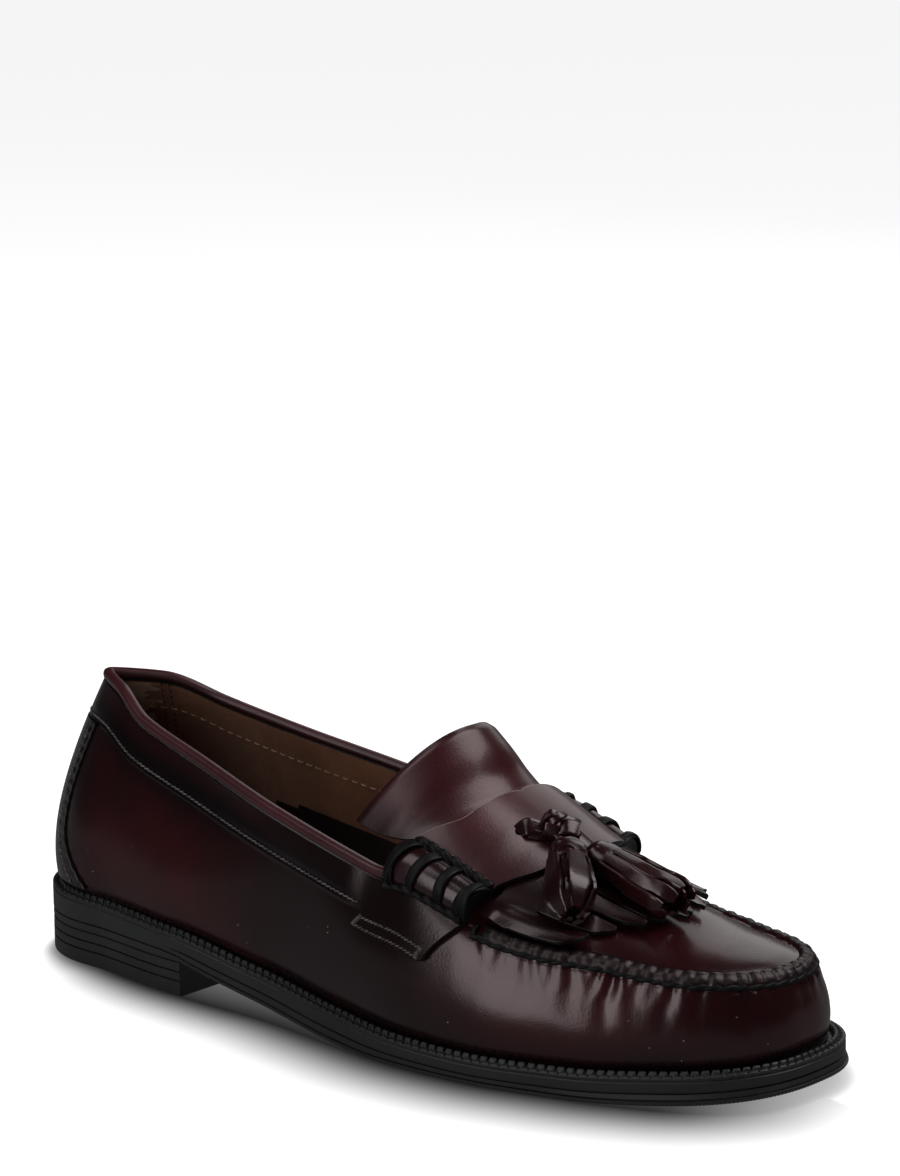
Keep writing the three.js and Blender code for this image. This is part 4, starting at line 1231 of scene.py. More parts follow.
def lining_thread():
    end = float(top_place(0.6 * SOLE_LENGTH))
    parts = []
    for low, high in ((-end, -LINING_ROW_START), (LINING_ROW_START, end)):
        q = np.linspace(low, high, 500)
        points, out = wall_line(q, LINING_ROW_DROP, -WALL - 0.05)
        parts.append(stitches(points, -out, 3.6, 2.1, 0.45, 0.3))
    joined("lining_stitches", parts, PALE_THREAD, "lining")
    parts = []
    for side in (-1, 1):
        q = np.full(60, LINING_SEAM * side)
        v = np.linspace(0.2, 0.99, 60)
        out = plan_normal(sole_outline, q)
        line = wall_point(q, v) - out * (WALL + 0.02)
        parts.append(ribbon(line, -out, 0.5, 0.3, corners=6, flat=2))
        for shift in (-0.006, 0.006):
            beside = wall_point(q + shift, v) - out * (WALL + 0.05)
            parts.append(stitches(beside, -out, 2.6, 1.6, 0.5, 0.35))
    joined("lining_seams", parts, SHADE_AND_SEAM_BLACK, "lining")


def binding():
    end = float(top_place(0.567 * SOLE_LENGTH))
    q = np.linspace(-end, end, 420)
    out = plan_normal(top_line, q)
    centre = top_line(q) - out * WALL / 2
    centre[:, 2] += CLEARANCE + BINDING_HEIGHT / 2
    angles = circle_angles(20)
    across, rise = rounded_square(angles, 0.85)
    rings = centre[:, None] + out[:, None] * (across * BINDING_WIDTH / 2)[None, :, None]
    rings[..., 2] += rise * BINDING_HEIGHT / 2
    points, faces = tube(rings)
    around = np.tile(angles, len(q))
    # Painted shade: the roll darkens on its underside
    shade = 0.9 * smooth_step(-0.2, -0.95, np.sin(around))
    piece("collar_roll", points, faces, [BINDING_LEATHER], "upper_leather", ["collar_binding"], shade=shade)


def backstay_place(share, t):
    edge = column(BACKSTAY, t, "edge")
    q = share * np.arccos(1 - 2 * edge) / np.pi
    v = mix(0.02, 1 - (BAND_WIDTH + 0.4) / wall_length(q), t)
    step = 0.004
    ahead = wall_point(q + step, v) - wall_point(q - step, v)
    up = wall_point(q, v + step) - wall_point(q, v - step)
    out = unit(np.cross(ahead, up))
    out = out * np.where(out[..., :1] > 0, -1, 1)
    return wall_point(q, v), out


def backstay():
    face = BACKSTAY_GAP + BACKSTAY_THICKNESS - 0.6
    shares = np.linspace(-1, 1, 61)
    share, t = np.meshgrid(shares, np.linspace(0, 1, 61), indexing="ij")
    base, out = backstay_place(share, t)
    pucker = 0.18 * bump_at(np.abs(share), 1, 0.12) * np.sin(t * 95 + share * 5)
    low = (base + out * 0.15).reshape(-1, 3)
    high = (base + out * (face + pucker)[..., None]).reshape(-1, 3)
    made, faces, kinds = closed_skin(high, low, grid_faces(*share.shape))
    shade = 0.88 + 0.12 * smooth_step(0.5, 0.9, np.abs(share)).reshape(-1)
    shade = np.concatenate([shade, shade])
    leathers = [BURGUNDY, BURGUNDY, EDGE]
    obj = piece("backstay_leather", made, faces, leathers, "upper_leather", ["backstay"], kinds, shade)
    bevel(obj, 0.3)
    parts = []
    for side in (-0.88, 0.88):
        t = np.linspace(0.03, 0.98, 200)
        line, out = backstay_place(np.full(200, side), t)
        parts.append(stitches(line + out * (face - 0.05), out, 2.3, 1.5, 0.55, 0.3))
    joined("backstay_stitches", parts, DARK_THREAD, "thong")


# Tongue
def tongue_free(k, t):
    get = lambda name: column(TONGUE, t, name)
    size = np.abs(k)
    return stack(
        SOLE_LENGTH * mix(get("mid_x"), get("edge_x"), size**1.75),
        BALL_WIDTH * get("edge_y") * k,
        COLLAR_HEIGHT * mix(get("mid_z"), get("edge_z"), size ** get("round")),
    )


def tongue():
    ks = np.linspace(-1, 1, 81)
    under = np.linspace(0, 0.7, 8)
    rear = mix(*TONGUE_REAR, np.abs(ks) ** 1.7)
    place = top_place(SOLE_LENGTH * mix(TONGUE_ROOT, rear[:, None], under[None]))
    across = (ks * TONGUE_HALF)[:, None] + 0 * place
    on_vamp = raised(place, across, CLEARANCE + TONGUE_THICKNESS + 0 * place)
    k, t = np.meshgrid(ks, np.linspace(1, 2, 46), indexing="ij")
    open_part = tongue_free(k, t)
    outer = np.concatenate([on_vamp, open_part], axis=1)
    faces = grid_faces(*outer.shape[:2])
    flat = outer.reshape(-1, 3)
    k_all = np.repeat(ks, outer.shape[1])
    normals = vertex_normals(flat, faces)
    if normals[:, 2].mean() < 0:
        normals = -normals
    curl = np.concatenate([0 * on_vamp[..., 0], 0.9 * smooth_step(1.9, 2.0, t) ** 2], axis=1).reshape(-1)
    outer = flat - normals * curl[:, None]
    inner = outer - normals * (TONGUE_THICKNESS - 0.1)
    made, faces, kinds = closed_skin(outer, inner, faces)
    # Darker along the tongue's free edges, and a darker band along both sides: painted shade standing for the
    # dark reflection there
    edge_and_side_shade = np.concatenate([0 * on_vamp[..., 0], smooth_step(1.955, 2.0, t)], axis=1)
    edge_and_side_shade = np.maximum(edge_and_side_shade, smooth_step(0.965, 1, np.abs(ks))[:, None] + 0 * edge_and_side_shade).reshape(-1)
    edge_and_side_shade = np.maximum(0.8 * edge_and_side_shade, 0.7 * smooth_step(0.78, 0.97, np.abs(k_all)))
    shade = np.concatenate([edge_and_side_shade, edge_and_side_shade])
    leathers = [TONGUE_LEATHER, TONGUE_LEATHER, EDGE]
    obj = piece("tongue_leather", made, faces, leathers, "upper_leather", ["tongue"], kinds, shade)
    bevel(obj, 0.35, 3)


# Strap with its rolls and tabs
def strap_low(k):
    return mix(LAYER, CLEARANCE * 1.5, smooth_step(0.76, ROLL_START, np.abs(k)))


def strap_high(k):
    t = np.clip(np.abs(np.abs(k) - ROLL_MIDDLE) / ROLL_HALF, 0, 1)
    return strap_low(k) + STRAP_THICKNESS + ROLL_HEIGHT * np.sqrt(1 - t * t)


def strap_place(k, t):
    rear, front = [column(STRAP, np.abs(k), name) for name in ("rear", "front")]
    return top_place(SOLE_LENGTH * mix(rear, front, t))


def strap_point(k, t, height):
    k, t = np.broadcast_arrays(np.asarray(k, float), np.asarray(t, float))
    return raised(strap_place(k, t), k, height + 0 * k)


# Slot in the strap: its middle in millimetres, how far it is turned, and its half length and width
SLOT = (204.5, -12.5, 0.2)
SLOT_SIZE = (3.6, 1.5)
TAB_CORNER = 0.045


def strap():
    roll = ROLL_MIDDLE - ROLL_HALF * np.cos(np.linspace(0, math.pi, 25))
    top = np.linspace(0, ROLL_START, 42)[:-1]
    side = np.concatenate([top, roll, np.linspace(ROLL_END, TAB_FRONT, 26)[1:]])
    ks = np.concatenate([-side[:0:-1], side])
    # The row at 0.011 marks off the thin strip along the rear edge that carries a painted highlight
    ts = np.concatenate([[0, 0.011], np.linspace(0.035, 1, 39)])
    k, t = np.meshgrid(ks, ts, indexing="ij")
    # The tab ends on a slant, with rounded corners
    corner = TAB_CORNER * (np.clip((t - 0.88) / 0.12, 0, 1) ** 2 + np.clip((0.1 - t) / 0.1, 0, 1) ** 2)
    end = mix(TAB_REAR, TAB_FRONT, t) - corner
    shrink = (end - ROLL_END) / (TAB_FRONT - ROLL_END)
    on_tab = np.sign(k) * (ROLL_END + (np.abs(k) - ROLL_END) * shrink)
    place = np.where(np.abs(k) > ROLL_END, on_tab, k)
    notch = 0.018 * bump_at(k, 0, 0.018) * (1 - smooth_step(0, 0.12, t))
    high = strap_point(place, t + notch, strap_high(place)).reshape(-1, 3)
    low = strap_point(place, t + notch, strap_low(place)).reshape(-1, 3)
    made, faces, kinds = closed_skin(high, low, grid_faces(*k.shape))
    size = np.abs(place)
    shade = 0 * t
    # Darker towards the edges and over the tab, with painted shade in the dip before each roll
    burnish_and_shade = [
        0.7 * smooth_step(0.965, 1, t),
        0.7 * smooth_step(0.035, 0, t),
        0.7 * smooth_step(TAB_FRONT - 0.06, TAB_FRONT, size),
        0.85 * smooth_step(ROLL_END, ROLL_END + 0.03, size),
        # Painted shade in the dip where the strap meets the roll
        0.5 * bump_at(size, ROLL_START, 0.025),
    ]
    for dark in burnish_and_shade:
        shade = np.maximum(shade, dark)
    shade = np.tile(shade.reshape(-1), 2)
    # Kinds: the leather of the rolls is darker, and a thin pale strip along the rear edge is a painted
    # highlight
    middles = np.array([np.mean(size.reshape(-1)[[i % size.size for i in face]]) for face in faces])
    rear_highlight_strip = np.array([max(t.reshape(-1)[[i % t.size for i in face]]) < 0.02 for face in faces])
    skin = np.array(kinds) < 2
    kinds = np.where(skin, 0, 1)
    kinds[skin & (middles > ROLL_START) & (middles < ROLL_END)] = 2
    kinds[rear_highlight_strip & (middles < ROLL_START)] = 3
    kinds[skin & (middles >= ROLL_END)] = 4
    leathers = [TONGUE_LEATHER, EDGE, ROLL_LEATHER, EDGE_HIGHLIGHT_PAINT, BURGUNDY]
    obj = piece("strap_leather", made, faces, leathers, "upper_leather", ["strap"], kinds, shade)
    cut_slot(obj)
    bevel(obj, 0.3, 2, 55)
    tab_stitches()


def cut_slot(obj):
    """Cuts the slot out of which the knot's thong comes."""
    x, y, turn = SLOT
    z = float(vamp_height(x, y)) + LAYER + STRAP_THICKNESS
    across, rise = rounded_square(circle_angles(32), 0.8)
    u, v = SLOT_SIZE[0] * across, SLOT_SIZE[1] * rise
    ring = stack(x + v * math.cos(turn) - u * math.sin(turn) * 0.4, y + u * math.cos(turn), 0 * u)
    mesh = new_mesh("slot_cutter", *tube(np.array([ring + [0, 0, z - 4], ring + [0, 0, z + 5]])))
    mesh.materials.append(EDGE)
    fix_outward(mesh)
    cutter = new_object("slot_cutter", mesh)
    cut = obj.modifiers.new("slot", "BOOLEAN")
    cut.operation = "DIFFERENCE"
    cut.object = cutter
    cut.solver = "EXACT"
    cut.material_mode = "TRANSFER"
    bpy.context.view_layer.update()
    settle(obj)
    bpy.data.objects.remove(cutter)


# Slanting rectangle of stitches on each tab: how far from its end, and from rear to front
TAB_ROWS = (0.035, 0.098)
TAB_ENDS = (0.05, 0.93)


def tab_stitches():
    parts = []

    def row(k, t, pitch, length, height, slant):
        line = strap_point(k, t, strap_high(k) + 0.02)
        parts.append(stitches(line, last_normal(strap_place(k, t), k), pitch, length, 0.5, height, slant))

    for side in (-1, 1):
        ts = np.linspace(*TAB_ENDS, 60)
        for inset in TAB_ROWS:
            row(side * (mix(TAB_REAR, TAB_FRONT, ts) - inset), ts, 1.55, 1.45, 0.3, 0.45)
        for t in TAB_ENDS:
            edge = mix(TAB_REAR, TAB_FRONT, t)
            row(side * (edge - np.linspace(*TAB_ROWS[::-1], 20)), np.full(20, t), 0.75, 1.4, 0.35, 1.6)
    joined("tab_stitches", parts, DARK_THREAD, "thong")


# Thong bound over the rolls. Its strands: which hoop, place from rear to front, lean, height and width
HOOPS = [
    (0, 0.07, 0.05, 0.1, 3.4), (0, 0.105, -0.05, 0.6, 2.2), (1, 0.36, -0.03, 0.1, 3.4),
    (2, 0.65, 0.04, 0.1, 3.4), (3, 0.93, -0.05, 0.1, 3.4), (3, 0.965, 0.05, 0.6, 2.2),
]


def thong(side, name, node):
    parts = []
    sweep = ROLL_MIDDLE - (ROLL_HALF + 0.012) * np.cos(np.linspace(0, math.pi, 26))
    lift = CLEARANCE * 2.2

    def over(k, t, height):
        line = strap_point(side * k, t, strap_high(k) + height)
        return line, last_normal(strap_place(side * k, t), side * k)

    for hoop, at, lean, height, width in HOOPS:
        t = np.clip(at + lean * np.linspace(-1, 1, 26), 0.015, 0.985)
        rise = lift + height + 0.1 * np.sin(np.linspace(0, 3 * math.pi, 26) + hoop)
        line, out = over(sweep, t, rise)
        parts.append(ribbon(line, roll_facing(line, out), width, 1.0, corners=12, flat=4))
    for edge in (ROLL_START - 0.012, ROLL_END + 0.014):
        for strand in (0, 1):
            t = np.linspace(0.02, 0.98, 90)
            turn = 2 * math.pi * 3.5 * t + math.pi * strand
            line, out = over(edge + 0.009 * np.sin(turn), t, lift + 0.55 + 0.45 * np.cos(turn))
            parts.append(ribbon(line, out, 2.4, 1.3, corners=10, flat=3.5))
    joined(name, parts, THONG, "thong", stands_for=[node])


def roll_facing(line, out):
    """Direction away from the middle of the roll for a hoop that runs over it."""
    middle = (line[0] + line[-1]) / 2
    return unit(unit(line - middle) + out * 0.15)


# Kiltie: fingers one by one, with how far each reaches, lifts, turns aside and rolls over its length
FINGERS = [
    (1.0, 0.9, 0.01, 0.5), (0.94, 0.2, 0.01, 0.2), (0.99, 1.5, -0.01, 0.5), (0.94, 0.5, 0.015, -0.3),
    (1.0, 1.7, 0.0, 0.4), (0.95, 0.4, 0.01, 0.2), (0.99, 1.6, -0.01, 0.4), (0.95, 0.5, 0.0, -0.2),
    (0.985, 1.4, 0.01, 0.4), (0.96, 0.4, 0.0, 0.3),
]


def kiltie():
    def over(share, t, height):
        k = share * mix(KILTIE_ROOT_HALF, KILTIE_TIP_HALF, t)
        tip = FRINGE_TIP - FRINGE_SWEEP * share * share
        back = KILTIE_BACK * smooth_step(0.75, KILTIE_ROOT_HALF, np.abs(share) * KILTIE_ROOT_HALF)
        place = top_place(SOLE_LENGTH * mix(KILTIE_ROOT - back, tip, t))
        climb = smooth_step(0.78, 0.88, np.abs(k)) * smooth_step(-0.05, 0.2, t)
        return raised(place, k, CLEARANCE + (SEAM_RELIEF + CLEARANCE / 2) * climb + height)

    # The uncut root, then each finger row by row
    across = 7
    shares = np.linspace(-1, 1, FRINGE_COUNT * (across - 1) + 1)
    root_rows = np.linspace(0, SLIT_START, 9)
    t, share = np.meshgrid(root_rows, shares, indexing="ij")
    outer = [over(share, t, KILTIE_THICKNESS).reshape(-1, 3)]
    inner = [over(share, t, 0).reshape(-1, 3)]
    faces = grid_faces(*t.shape)
    count = t.size
    edge_shade = [np.zeros(count)]
    u = np.linspace(0, 1, across)
    off = 2 * u - 1
    pitch = 2 / FRINGE_COUNT
    for i, (reach, lift, aside, roll) in enumerate(FINGERS):
        first = t.size - len(shares) + i * (across - 1)
        previous = list(range(first, first + across))
        for run in np.linspace(0, 1, 26)[1:]:
            cut = 0.04 + 0.1 * run
            clip_end = smooth_step(0.9, 1.0, run)
            low = -1 + pitch * (i + cut + 0.2 * clip_end)
            high = -1 + pitch * (i + 1 - cut - 0.12 * clip_end)
            s = mix(low, high, u) + aside * run
            rise = lift * smooth_step(0, 1, run) ** 1.3 + roll * off**2 * run
            length_at = mix(SLIT_START, reach, run) - 0.02 * off**2 * clip_end
            outer.append(over(s, length_at, KILTIE_THICKNESS + rise))
            inner.append(over(s, length_at, rise))
            edge_shade.append(0.35 * np.abs(off) ** 6)
            here = list(range(count, count + across))
            count += across
            for j in range(across - 1):
                faces.append((previous[j], here[j], here[j + 1], previous[j + 1]))
            previous = here
    made, all_faces, kinds = closed_skin(np.concatenate(outer), np.concatenate(inner), faces)
    shade = np.concatenate([*edge_shade, *edge_shade])
    leathers = [ROLL_LEATHER, ROLL_LEATHER, EDGE]
    obj = piece("kiltie_leather", made, all_faces, leathers, "upper_leather", ["kiltie"], kinds, shade)
    bevel(obj, 0.28, 2, 40)


# Tassels
TASSELS = {
    "tassel_lateral": {
        "neck": (0.722, -0.1, 1.25),
        "end": (0.783, -0.3, 1.75),
        "strips": 5,
        "spread": 0.3,
        "flat": 0.95,
        "cap": 0.34,
        "close": 0.5,
    },
    "tassel_medial": {
        "neck": (0.735, -0.025, 1.0),
        "end": (0.85, -0.035, 1.35),
        "strips": 8,
        "spread": 2.8,
        "flat": 0.62,
        "cap": 0.28,
        "close": 0.0,
    },
}
# Distance from the tassel's axis in radii, from neck to tip
STRIP = {"at": [0, 0.12, 0.35, 0.62, 0.85, 1], "out": [0.6, 0.82, 0.98, 1.08, 1.08, 0.78]}
CAP = {"at": [0, 0.08, 0.3, 0.7, 0.92, 1], "out": [0.42, 0.66, 0.86, 0.92, 0.86, 0.8]}


def over_vamp(at, side, rise):
    x, y = at * SOLE_LENGTH, side * BALL_WIDTH
    return np.array([x, y, float(vamp_height(x, y)) + rise * TASSEL_RADIUS])


def tassel(name, neck, end, strips, spread, flat, cap, close):
    start, stop = over_vamp(*neck), over_vamp(*end)
    axis = stop - start
    length = np.linalg.norm(axis)
    ahead = axis / length
    side = unit(np.cross(UP, ahead))
    up = np.cross(ahead, side) * flat
    rng = random.Random(name)
    angles = circle_angles(40)

    def ring(at, radius):
        centre = start + ahead * np.multiply(at, length)[..., None]
        across = side * np.cos(angles)[:, None] + up * np.sin(angles)[:, None]
        return centre[:, None] + across * np.asarray(radius)[..., None]

    # Cap: a strip rolled round the neck, whose outer end stands up as a step, with a ring at its foot
    at = np.linspace(0, 1, 26)
    size = column(CAP, at, "out") * TASSEL_RADIUS
    turn = (angles - 3.9) % (2 * math.pi)
    step = 0.9 * (1 - turn / (2 * math.pi)) * smooth_step(0, 0.12, turn)
    foot = 0.6 * bump_at(at, 0.86, 0.06)
    fold = 0.35 * bump_at(at, 0.3, 0.1)[:, None] * np.cos(3 * angles)[None]
    parts = [tube(ring(at * cap, size[:, None] + step[None] + foot[:, None] + fold))]
    if close:
        toward = unit(np.array([0.6, -0.72, 0.42]))
        middle = start + ahead * length * 0.17 + toward * TASSEL_RADIUS * 0.78
        first = unit(np.cross(toward, ahead))
        turn = np.linspace(0, 2 * math.pi, 29)[:, None]
        loop = middle + 2.1 * (first * np.cos(turn) + np.cross(toward, first) * np.sin(turn) * 1.15)
        parts.append(ribbon(loop + toward * 0.05 * turn, np.tile(toward, (29, 1)), 1.5, 2.2, 10, None, 3.5))
    # Strips in two layers, the outer ones folded down at their tips
    for layer, (count, inward, short) in enumerate(((strips, 1.0, 0.0), (strips, 0.72, 0.05))):
        for i in range(count):
            angle = 2 * math.pi * (i + 0.5 * layer) / count + rng.uniform(-0.1, 0.1)
            tip = 1.0 - short - rng.uniform(0, 0.06)
            along_it = np.linspace(cap * 0.82, tip, 18)
            run = np.linspace(0, 1, 18)
            out = column(STRIP, along_it, "out") * TASSEL_RADIUS * inward
            out = out * (1 - close * smooth_step(0.55, 1.05, run) ** 1.3)
            out = out + spread * run**2 * rng.uniform(-0.2, 1.0)
            kink = rng.uniform(-0.28, 0.28)
            bend = angle + kink * smooth_step(0.3, 0.42, run) - 1.4 * kink * smooth_step(0.62, 0.74, run)
            direction = side * np.cos(bend)[:, None] + up * np.sin(bend)[:, None]
            path = start + ahead * (along_it * length)[:, None] + direction * out[:, None]
            width = 2 * math.pi * TASSEL_RADIUS * 1.05 * inward * 0.84 / count
            grow = mix(0.72, 1, smooth_step(0, 0.5, run)) * (1 - 0.35 * smooth_step(0.93, 1.0, run))
            grow = grow * (1 - 0.9 * close * smooth_step(0.6, 1.0, run))
            parts.append(ribbon(path, unit(direction), width * grow, 1.35, corners=12, flat=6))
    tassel_leather(name + "_strips", parts, name)
    # Dark core, painted shade inside the tassel, so that no light shows between the strips
    core = tube(ring(np.linspace(cap * 0.7, 0.84, 8), np.full((8, 40), 0.5 * TASSEL_RADIUS)))
    joined(name + "_core", [core], SHADE_AND_SEAM_BLACK, "tassel_leather")


def tassel_leather(name, parts, node):
    shade = np.full(sum(len(points) for points, _ in parts), 0.2)
    joined(name, parts, TASSEL_LEATHER, "tassel_leather", stands_for=[node], shade=shade)


# Strands of the knot, across the shoe's slanting front, out of it and up, in millimetres from its middle:
# points, width, thickness, which way they face, and how much wider they are at start, middle and end
KNOT = [
    ([(-12.5, -1.2, -4), (-11, -0.6, -1.2), (-8.2, 0.6, 0.8), (-4.6, 0.8, 0.2), (-1.5, 0.4, -0.8)],
     5.2, 1.7, (-0.1, 0.75, 0.6), (0.7, 1.15, 0.75)),
    ([(-10, -0.4, -2.6), (-7.4, 1.6, -1.2), (-4.4, 2.0, -1.6), (-1, 1.2, -1.8)],
     3.4, 1.3, (0, 1, 0.1), (0.7, 1, 0.8)),
    ([(-3.2, -0.8, 0), (-3, 0.2, 3.4), (-0.6, 0.8, 5.2), (1.8, 0.2, 3.4), (1.6, -0.6, 0.4)],
     4.2, 1.4, None, (1, 1, 1)),
    ([(-2.2, 1.4, 1.2), (-0.6, 2.4, 3.2), (1.6, 1.8, 4.6), (3.2, 0.2, 4.8)],
     3.2, 1.3, (-0.3, 0.8, 0.5), (0.8, 1, 0.8)),
    ([(-1.2, -2.6, -2.2), (-1.5, 1.6, -2.6), (-1.2, 3.4, -0.6),
      (-0.6, 3.0, 1.8), (0, 0.4, 2.8), (0.4, -2.2, 1.6)],
     4.8, 1.6, None, (1, 1, 1)),
    ([(-0.5, 1.6, 0.2), (2.4, 2.8, 1.0), (5.2, 3.0, 0.9), (7.4, 2.6, -0.2)],
     5.6, 1.8, (0.1, 0.7, 0.75), (0.8, 1, 1.05)),
    ([(0.5, 2.2, -1.6), (3.2, 3.6, -1.2), (5.6, 3.8, -1.4), (7.2, 3.2, -2.2)],
     3.6, 1.6, (0.2, 1, 0), (0.8, 1, 1)),
    ([(8, -20, -6), (6.5, -14, -1), (4.4, -6, 1.4), (1.5, -1.5, 0.4)],
     4.4, 1.5, (0.4, -0.2, 1), (1, 1, 1)),
]
KNOT_LIFT = 3.6


def knot():
    centre = over_vamp(0.7, -0.075, 0) + UP * (LAYER + STRAP_THICKNESS + KNOT_LIFT)
    axes = np.array([(0.76, 0.65, 0), (0.65, -0.76, 0), (0, 0, 1)])
    near, far = [(over_vamp(*shape["neck"]) - centre) @ axes.T for shape in TASSELS.values()]
    to_near = [(0.5, 2, -1.6), (1.5, 3.4, -1.2), near, near + [0.5, 2, -1.5]]
    to_far = [(2, 0, -0.8), (5, 0.6, -0.4), far, far + [2.5, 1.5, -0.6]]
    strands = KNOT + [
        (to_near, 4.2, 2.2, (0.1, 0.6, 0.8), (1, 1, 1)),
        (to_far, 4.6, 2.0, (0.1, 0.3, 1), (1, 1, 1)),
    ]
    parts = []
    for points, width, thickness, facing, taper in strands:
        line = smooth_path(np.array(points, float), 30)
        face = line + UP * 0.5 if facing is None else np.tile(facing, (30, 1))
        size = np.interp(np.linspace(0, 1, 30), (0, 0.5, 1), taper)
        parts.append(ribbon(centre + line @ axes, unit(unit(face) @ axes), width, thickness, 12, size, 6))
    tassel_leather("tassel_thong", parts, "tassel_knot")


def smooth_path(points, count):
    """A Catmull-Rom curve through points."""
    ends = np.concatenate([[2 * points[0] - points[1]], points, [2 * points[-1] - points[-2]]])
    spans = len(points) - 1
    out = []
    for value in np.linspace(0, spans, count):
        i = min(int(value), spans - 1)
        t = value - i
        a, b, c, d = ends[i : i + 4]
        bend = (2 * a - 5 * b + 4 * c - d) * t * t + (3 * b - a - 3 * c + d) * t**3
        out.append(0.5 * (2 * b + (c - a) * t + bend))
    return np.array(out)


# Specks of dust on the leather, but not under the strap, kiltie and tassels or over the opening
DUST_COUNT = 110


def dust():
    rng = np.random.default_rng(11)
    p = rng.uniform(0.1, 0.95, DUST_COUNT)
    k = rng.uniform(-2, 1.2, DUST_COUNT)
    base = raised(p, k, np.full(DUST_COUNT, 0.02))
    share = top_x(p) / SOLE_LENGTH
    cover = (share > 0.52) & (share < 0.84) & (np.abs(k) < 1.55)
    open_top = (share < 0.62) & (np.abs(k) < 1.35)
    corners = np.array([(1, 0, 0), (-1, 0, 0), (0, 1, 0), (0, -1, 0), (0, 0, 1), (0, 0, -1)], float)
    sides = [(0, 2, 4), (2, 1, 4), (1, 3, 4), (3, 0, 4), (2, 0, 5), (1, 2, 5), (3, 1, 5), (0, 3, 5)]
    parts = []
    for centre, size in zip(base[~cover & ~open_top], rng.uniform(0.1, 0.2, DUST_COUNT)):
        parts.append((centre + corners * size, sides))
    joined("dust_specks", parts, DUST, "upper_leather")


# Stage
CAMERA_PLACE = (1015.4 - HEEL_BREAST / 2, -993.9, 416.0)
CAMERA_LOOK = (-0.6357, 0.7436, -0.2074)
CAMERA_ROLL = -0.75
CAMERA_LENS = 131.76


def camera():
    data = bpy.data.cameras.new("camera")
    data.sensor_width = 36
    data.lens = CAMERA_LENS
    data.clip_end = 50
    obj = new_object("camera", data)
    obj.location = Vector(CAMERA_PLACE) / 1000
    turn = Vector(CAMERA_LOOK).to_track_quat("-Z", "Y")
    roll = Matrix.Rotation(math.radians(CAMERA_ROLL), 4, "Z")
    obj.rotation_mode = "QUATERNION"
    obj.rotation_quaternion = (turn.to_matrix().to_4x4() @ roll).to_quaternion()
    bpy.context.scene.camera = obj


# The floor glows, but not under the shoe and close to its edge: there its glow and colour fall off, which
# paints the shoe's shadow.
# The painted shadow reaches further on the outer side and at the toe than behind the heel and on the inner
# side.
FLOOR_REACH = 12000
FLOOR_GLOW = 0.9
FLOOR_MIRRORED = 0.12
WORLD_GLOW = 0.012
SHADOW = {
    "at": [-1, -0.9, -0.78, -0.5, -0.28, -0.15, -0.06, 0.1, 1],
    "reach": [26, 38, 44, 38, 26, 7, 2.5, 3, 6],
    "dark": [0.4, 0.7, 0.99, 1, 1, 0.8, 0.5, 0.5, 0.4],
}


def floor():
    shader = Shader("floor_white", 1.0, specular=0.0)
    # The floor's colour darkens with its glow, as part of the painted shadow
    glow_at = shader.attribute("glow")
    shader.colour(shader.blend((0.02, 0.02, 0.02, 1), (0.5, 0.5, 0.5, 1), glow_at))
    shader.skin.inputs["Emission Color"].default_value = (1, 1, 1, 1)
    shader.join(glow_at, shader.skin.inputs["Emission Strength"])
    mirrored = shader.add("ShaderNodeEmission")
    mirrored.inputs["Strength"].default_value = FLOOR_MIRRORED
    either = shader.add("ShaderNodeMixShader")
    shader.join(shader.add("ShaderNodeLightPath").outputs["Is Glossy Ray"], either.inputs[0])
    shader.join(shader.skin.outputs[0], either.inputs[1])
    shader.join(mirrored.outputs[0], either.inputs[2])
    shader.join(either.outputs[0], shader.nodes["Material Output"].inputs["Surface"])
    # Rings that spread from the sole's outline, as far as the sheet reaches
    q = ring_places(240)
    shares = np.linspace(0, 1, 14)
    reach = column(SHADOW, q, "reach")
    rings = [inset_outline(q, -share * reach) * [1, 1, 0] for share in shares]
    edge_ring = rings[-1]
    away = unit(edge_ring - [SOLE_LENGTH / 2, 0, 0])
    for step in (60, 150, 500, 2000, FLOOR_REACH):
        rings.append(edge_ring + away * step)
    shares = np.append(shares, np.full(len(rings) - len(shares), 1))
    points, faces = capped(np.array(rings))
    faces = [face for face in faces if min(face) < (len(rings) - 1) * len(q)]
    mesh = new_mesh("floor", points, faces)
    # Painted shadow: the glow falls off close to the shoe, as the SHADOW table gives
    dark = np.tile(column(SHADOW, q, "dark"), len(rings))
    fade = 1 - smooth_step(-0.08, 1, np.repeat(shares, len(q)))
    point_values(mesh, "glow", FLOOR_GLOW * (1 - dark * fade))
    mesh.materials.append(shader.material)
    new_object("floor", mesh)


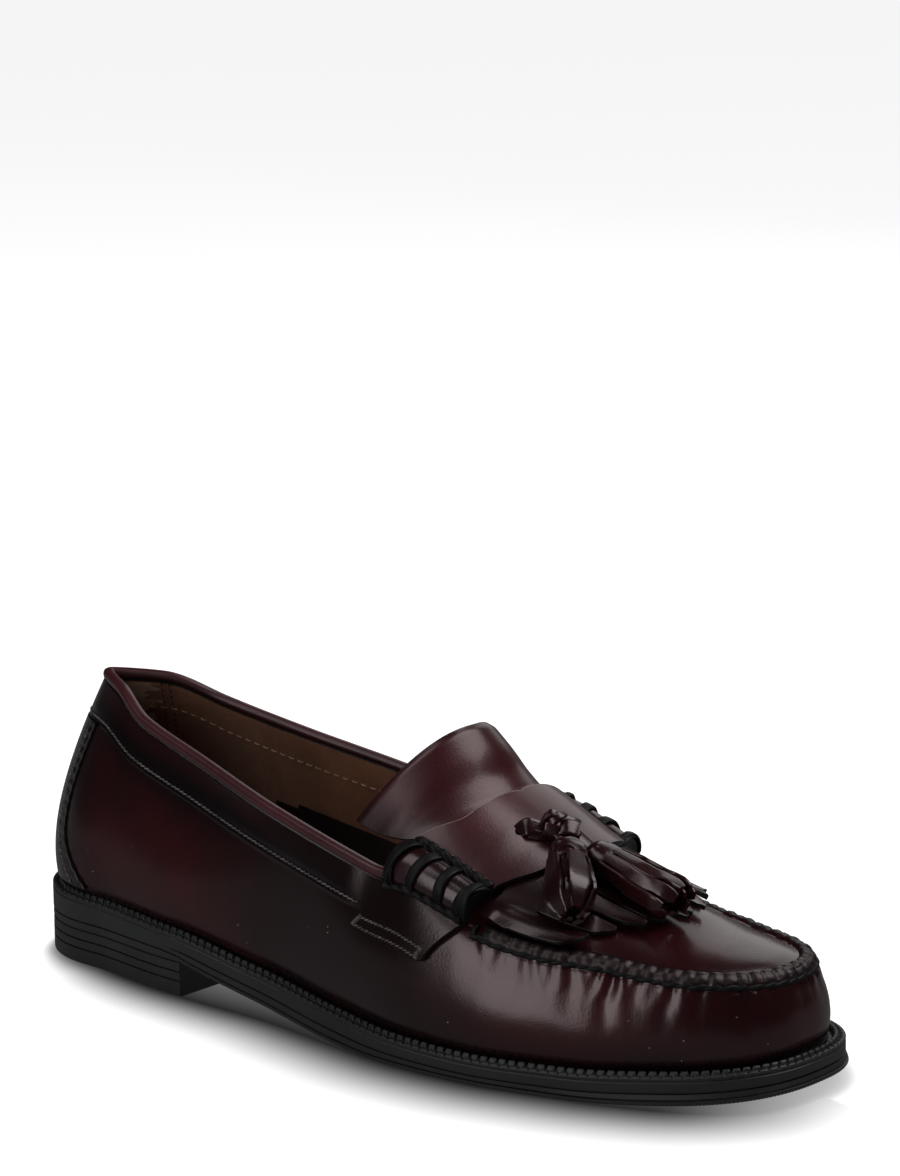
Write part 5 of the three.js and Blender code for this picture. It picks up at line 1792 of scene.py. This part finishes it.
# Lamps: which way they stand from the shoe, where 0 degrees is in front of the outer side and -90 behind
# the heel, how high, how far off in metres, width, height, how bright, and if the leather mirrors them
LAMPS = {
    "overhead": (130, 62, 1.6, 1.2, 1.2, 3.0, True),
    "overhead_front": (-40, 58, 1.6, 0.8, 0.8, 1.6, True),
    "front_strip": (-10, 20, 1.5, 0.5, 1.1, 2.4, True),
    "behind": (-160, 26, 1.6, 0.9, 1.1, 0.8, True),
    "ceiling": (180, 72, 1.6, 1.5, 1.5, 1.7, False),
    "fill": (-20, 40, 1.6, 1.6, 1.2, 0.5, False),
}
SHOE_MIDDLE = Vector((0.11, 0, 0.05))


def lamp(name, azimuth, elevation, distance, width, height, strength, mirrored):
    turn, rise = math.radians(azimuth), math.radians(elevation)
    way = Vector((math.sin(turn) * math.cos(rise), -math.cos(turn) * math.cos(rise), math.sin(rise)))
    material = bpy.data.materials.new(name)
    material.use_nodes = True
    nodes = material.node_tree.nodes
    nodes.remove(nodes["Principled BSDF"])
    glow = nodes.new("ShaderNodeEmission")
    glow.inputs["Strength"].default_value = strength
    material.node_tree.links.new(glow.outputs[0], nodes["Material Output"].inputs["Surface"])
    x, y = width / 2, height / 2
    mesh = bpy.data.meshes.new(name)
    mesh.from_pydata([(-x, -y, 0), (x, -y, 0), (x, y, 0), (-x, y, 0)], [], [(0, 1, 2, 3)])
    mesh.materials.append(material)
    obj = new_object(name, mesh)
    obj.location = SHOE_MIDDLE + way * distance
    obj.rotation_mode = "QUATERNION"
    obj.rotation_quaternion = (-way).to_track_quat("-Z", "Y")
    obj.visible_camera = False
    obj.visible_glossy = mirrored


def light():
    for name, values in LAMPS.items():
        lamp(name, *values)
    world = bpy.data.worlds.new("world")
    world.use_nodes = True
    nodes, links = world.node_tree.nodes, world.node_tree.links
    background = nodes["Background"]
    seen = nodes.new("ShaderNodeLightPath").outputs["Is Camera Ray"]
    strength = nodes.new("ShaderNodeMapRange")
    strength.inputs["To Min"].default_value = WORLD_GLOW
    strength.inputs["To Max"].default_value = 1.0
    links.new(seen, strength.inputs["Value"])
    links.new(strength.outputs[0], background.inputs["Strength"])
    background.inputs["Color"].default_value = (1, 1, 1, 1)
    bpy.context.scene.world = world
    bpy.context.scene.view_settings.view_transform = "Standard"


camera()
floor()
light()
outsole()
heel()
welt()
insole()
upper()
binding()
backstay()
tongue()
strap()
thong(-1, "thong_near", "thong_lateral")
thong(1, "thong_far", "thong_medial")
kiltie()
for name, shape in TASSELS.items():
    tassel(name, **shape)
knot()
dust()
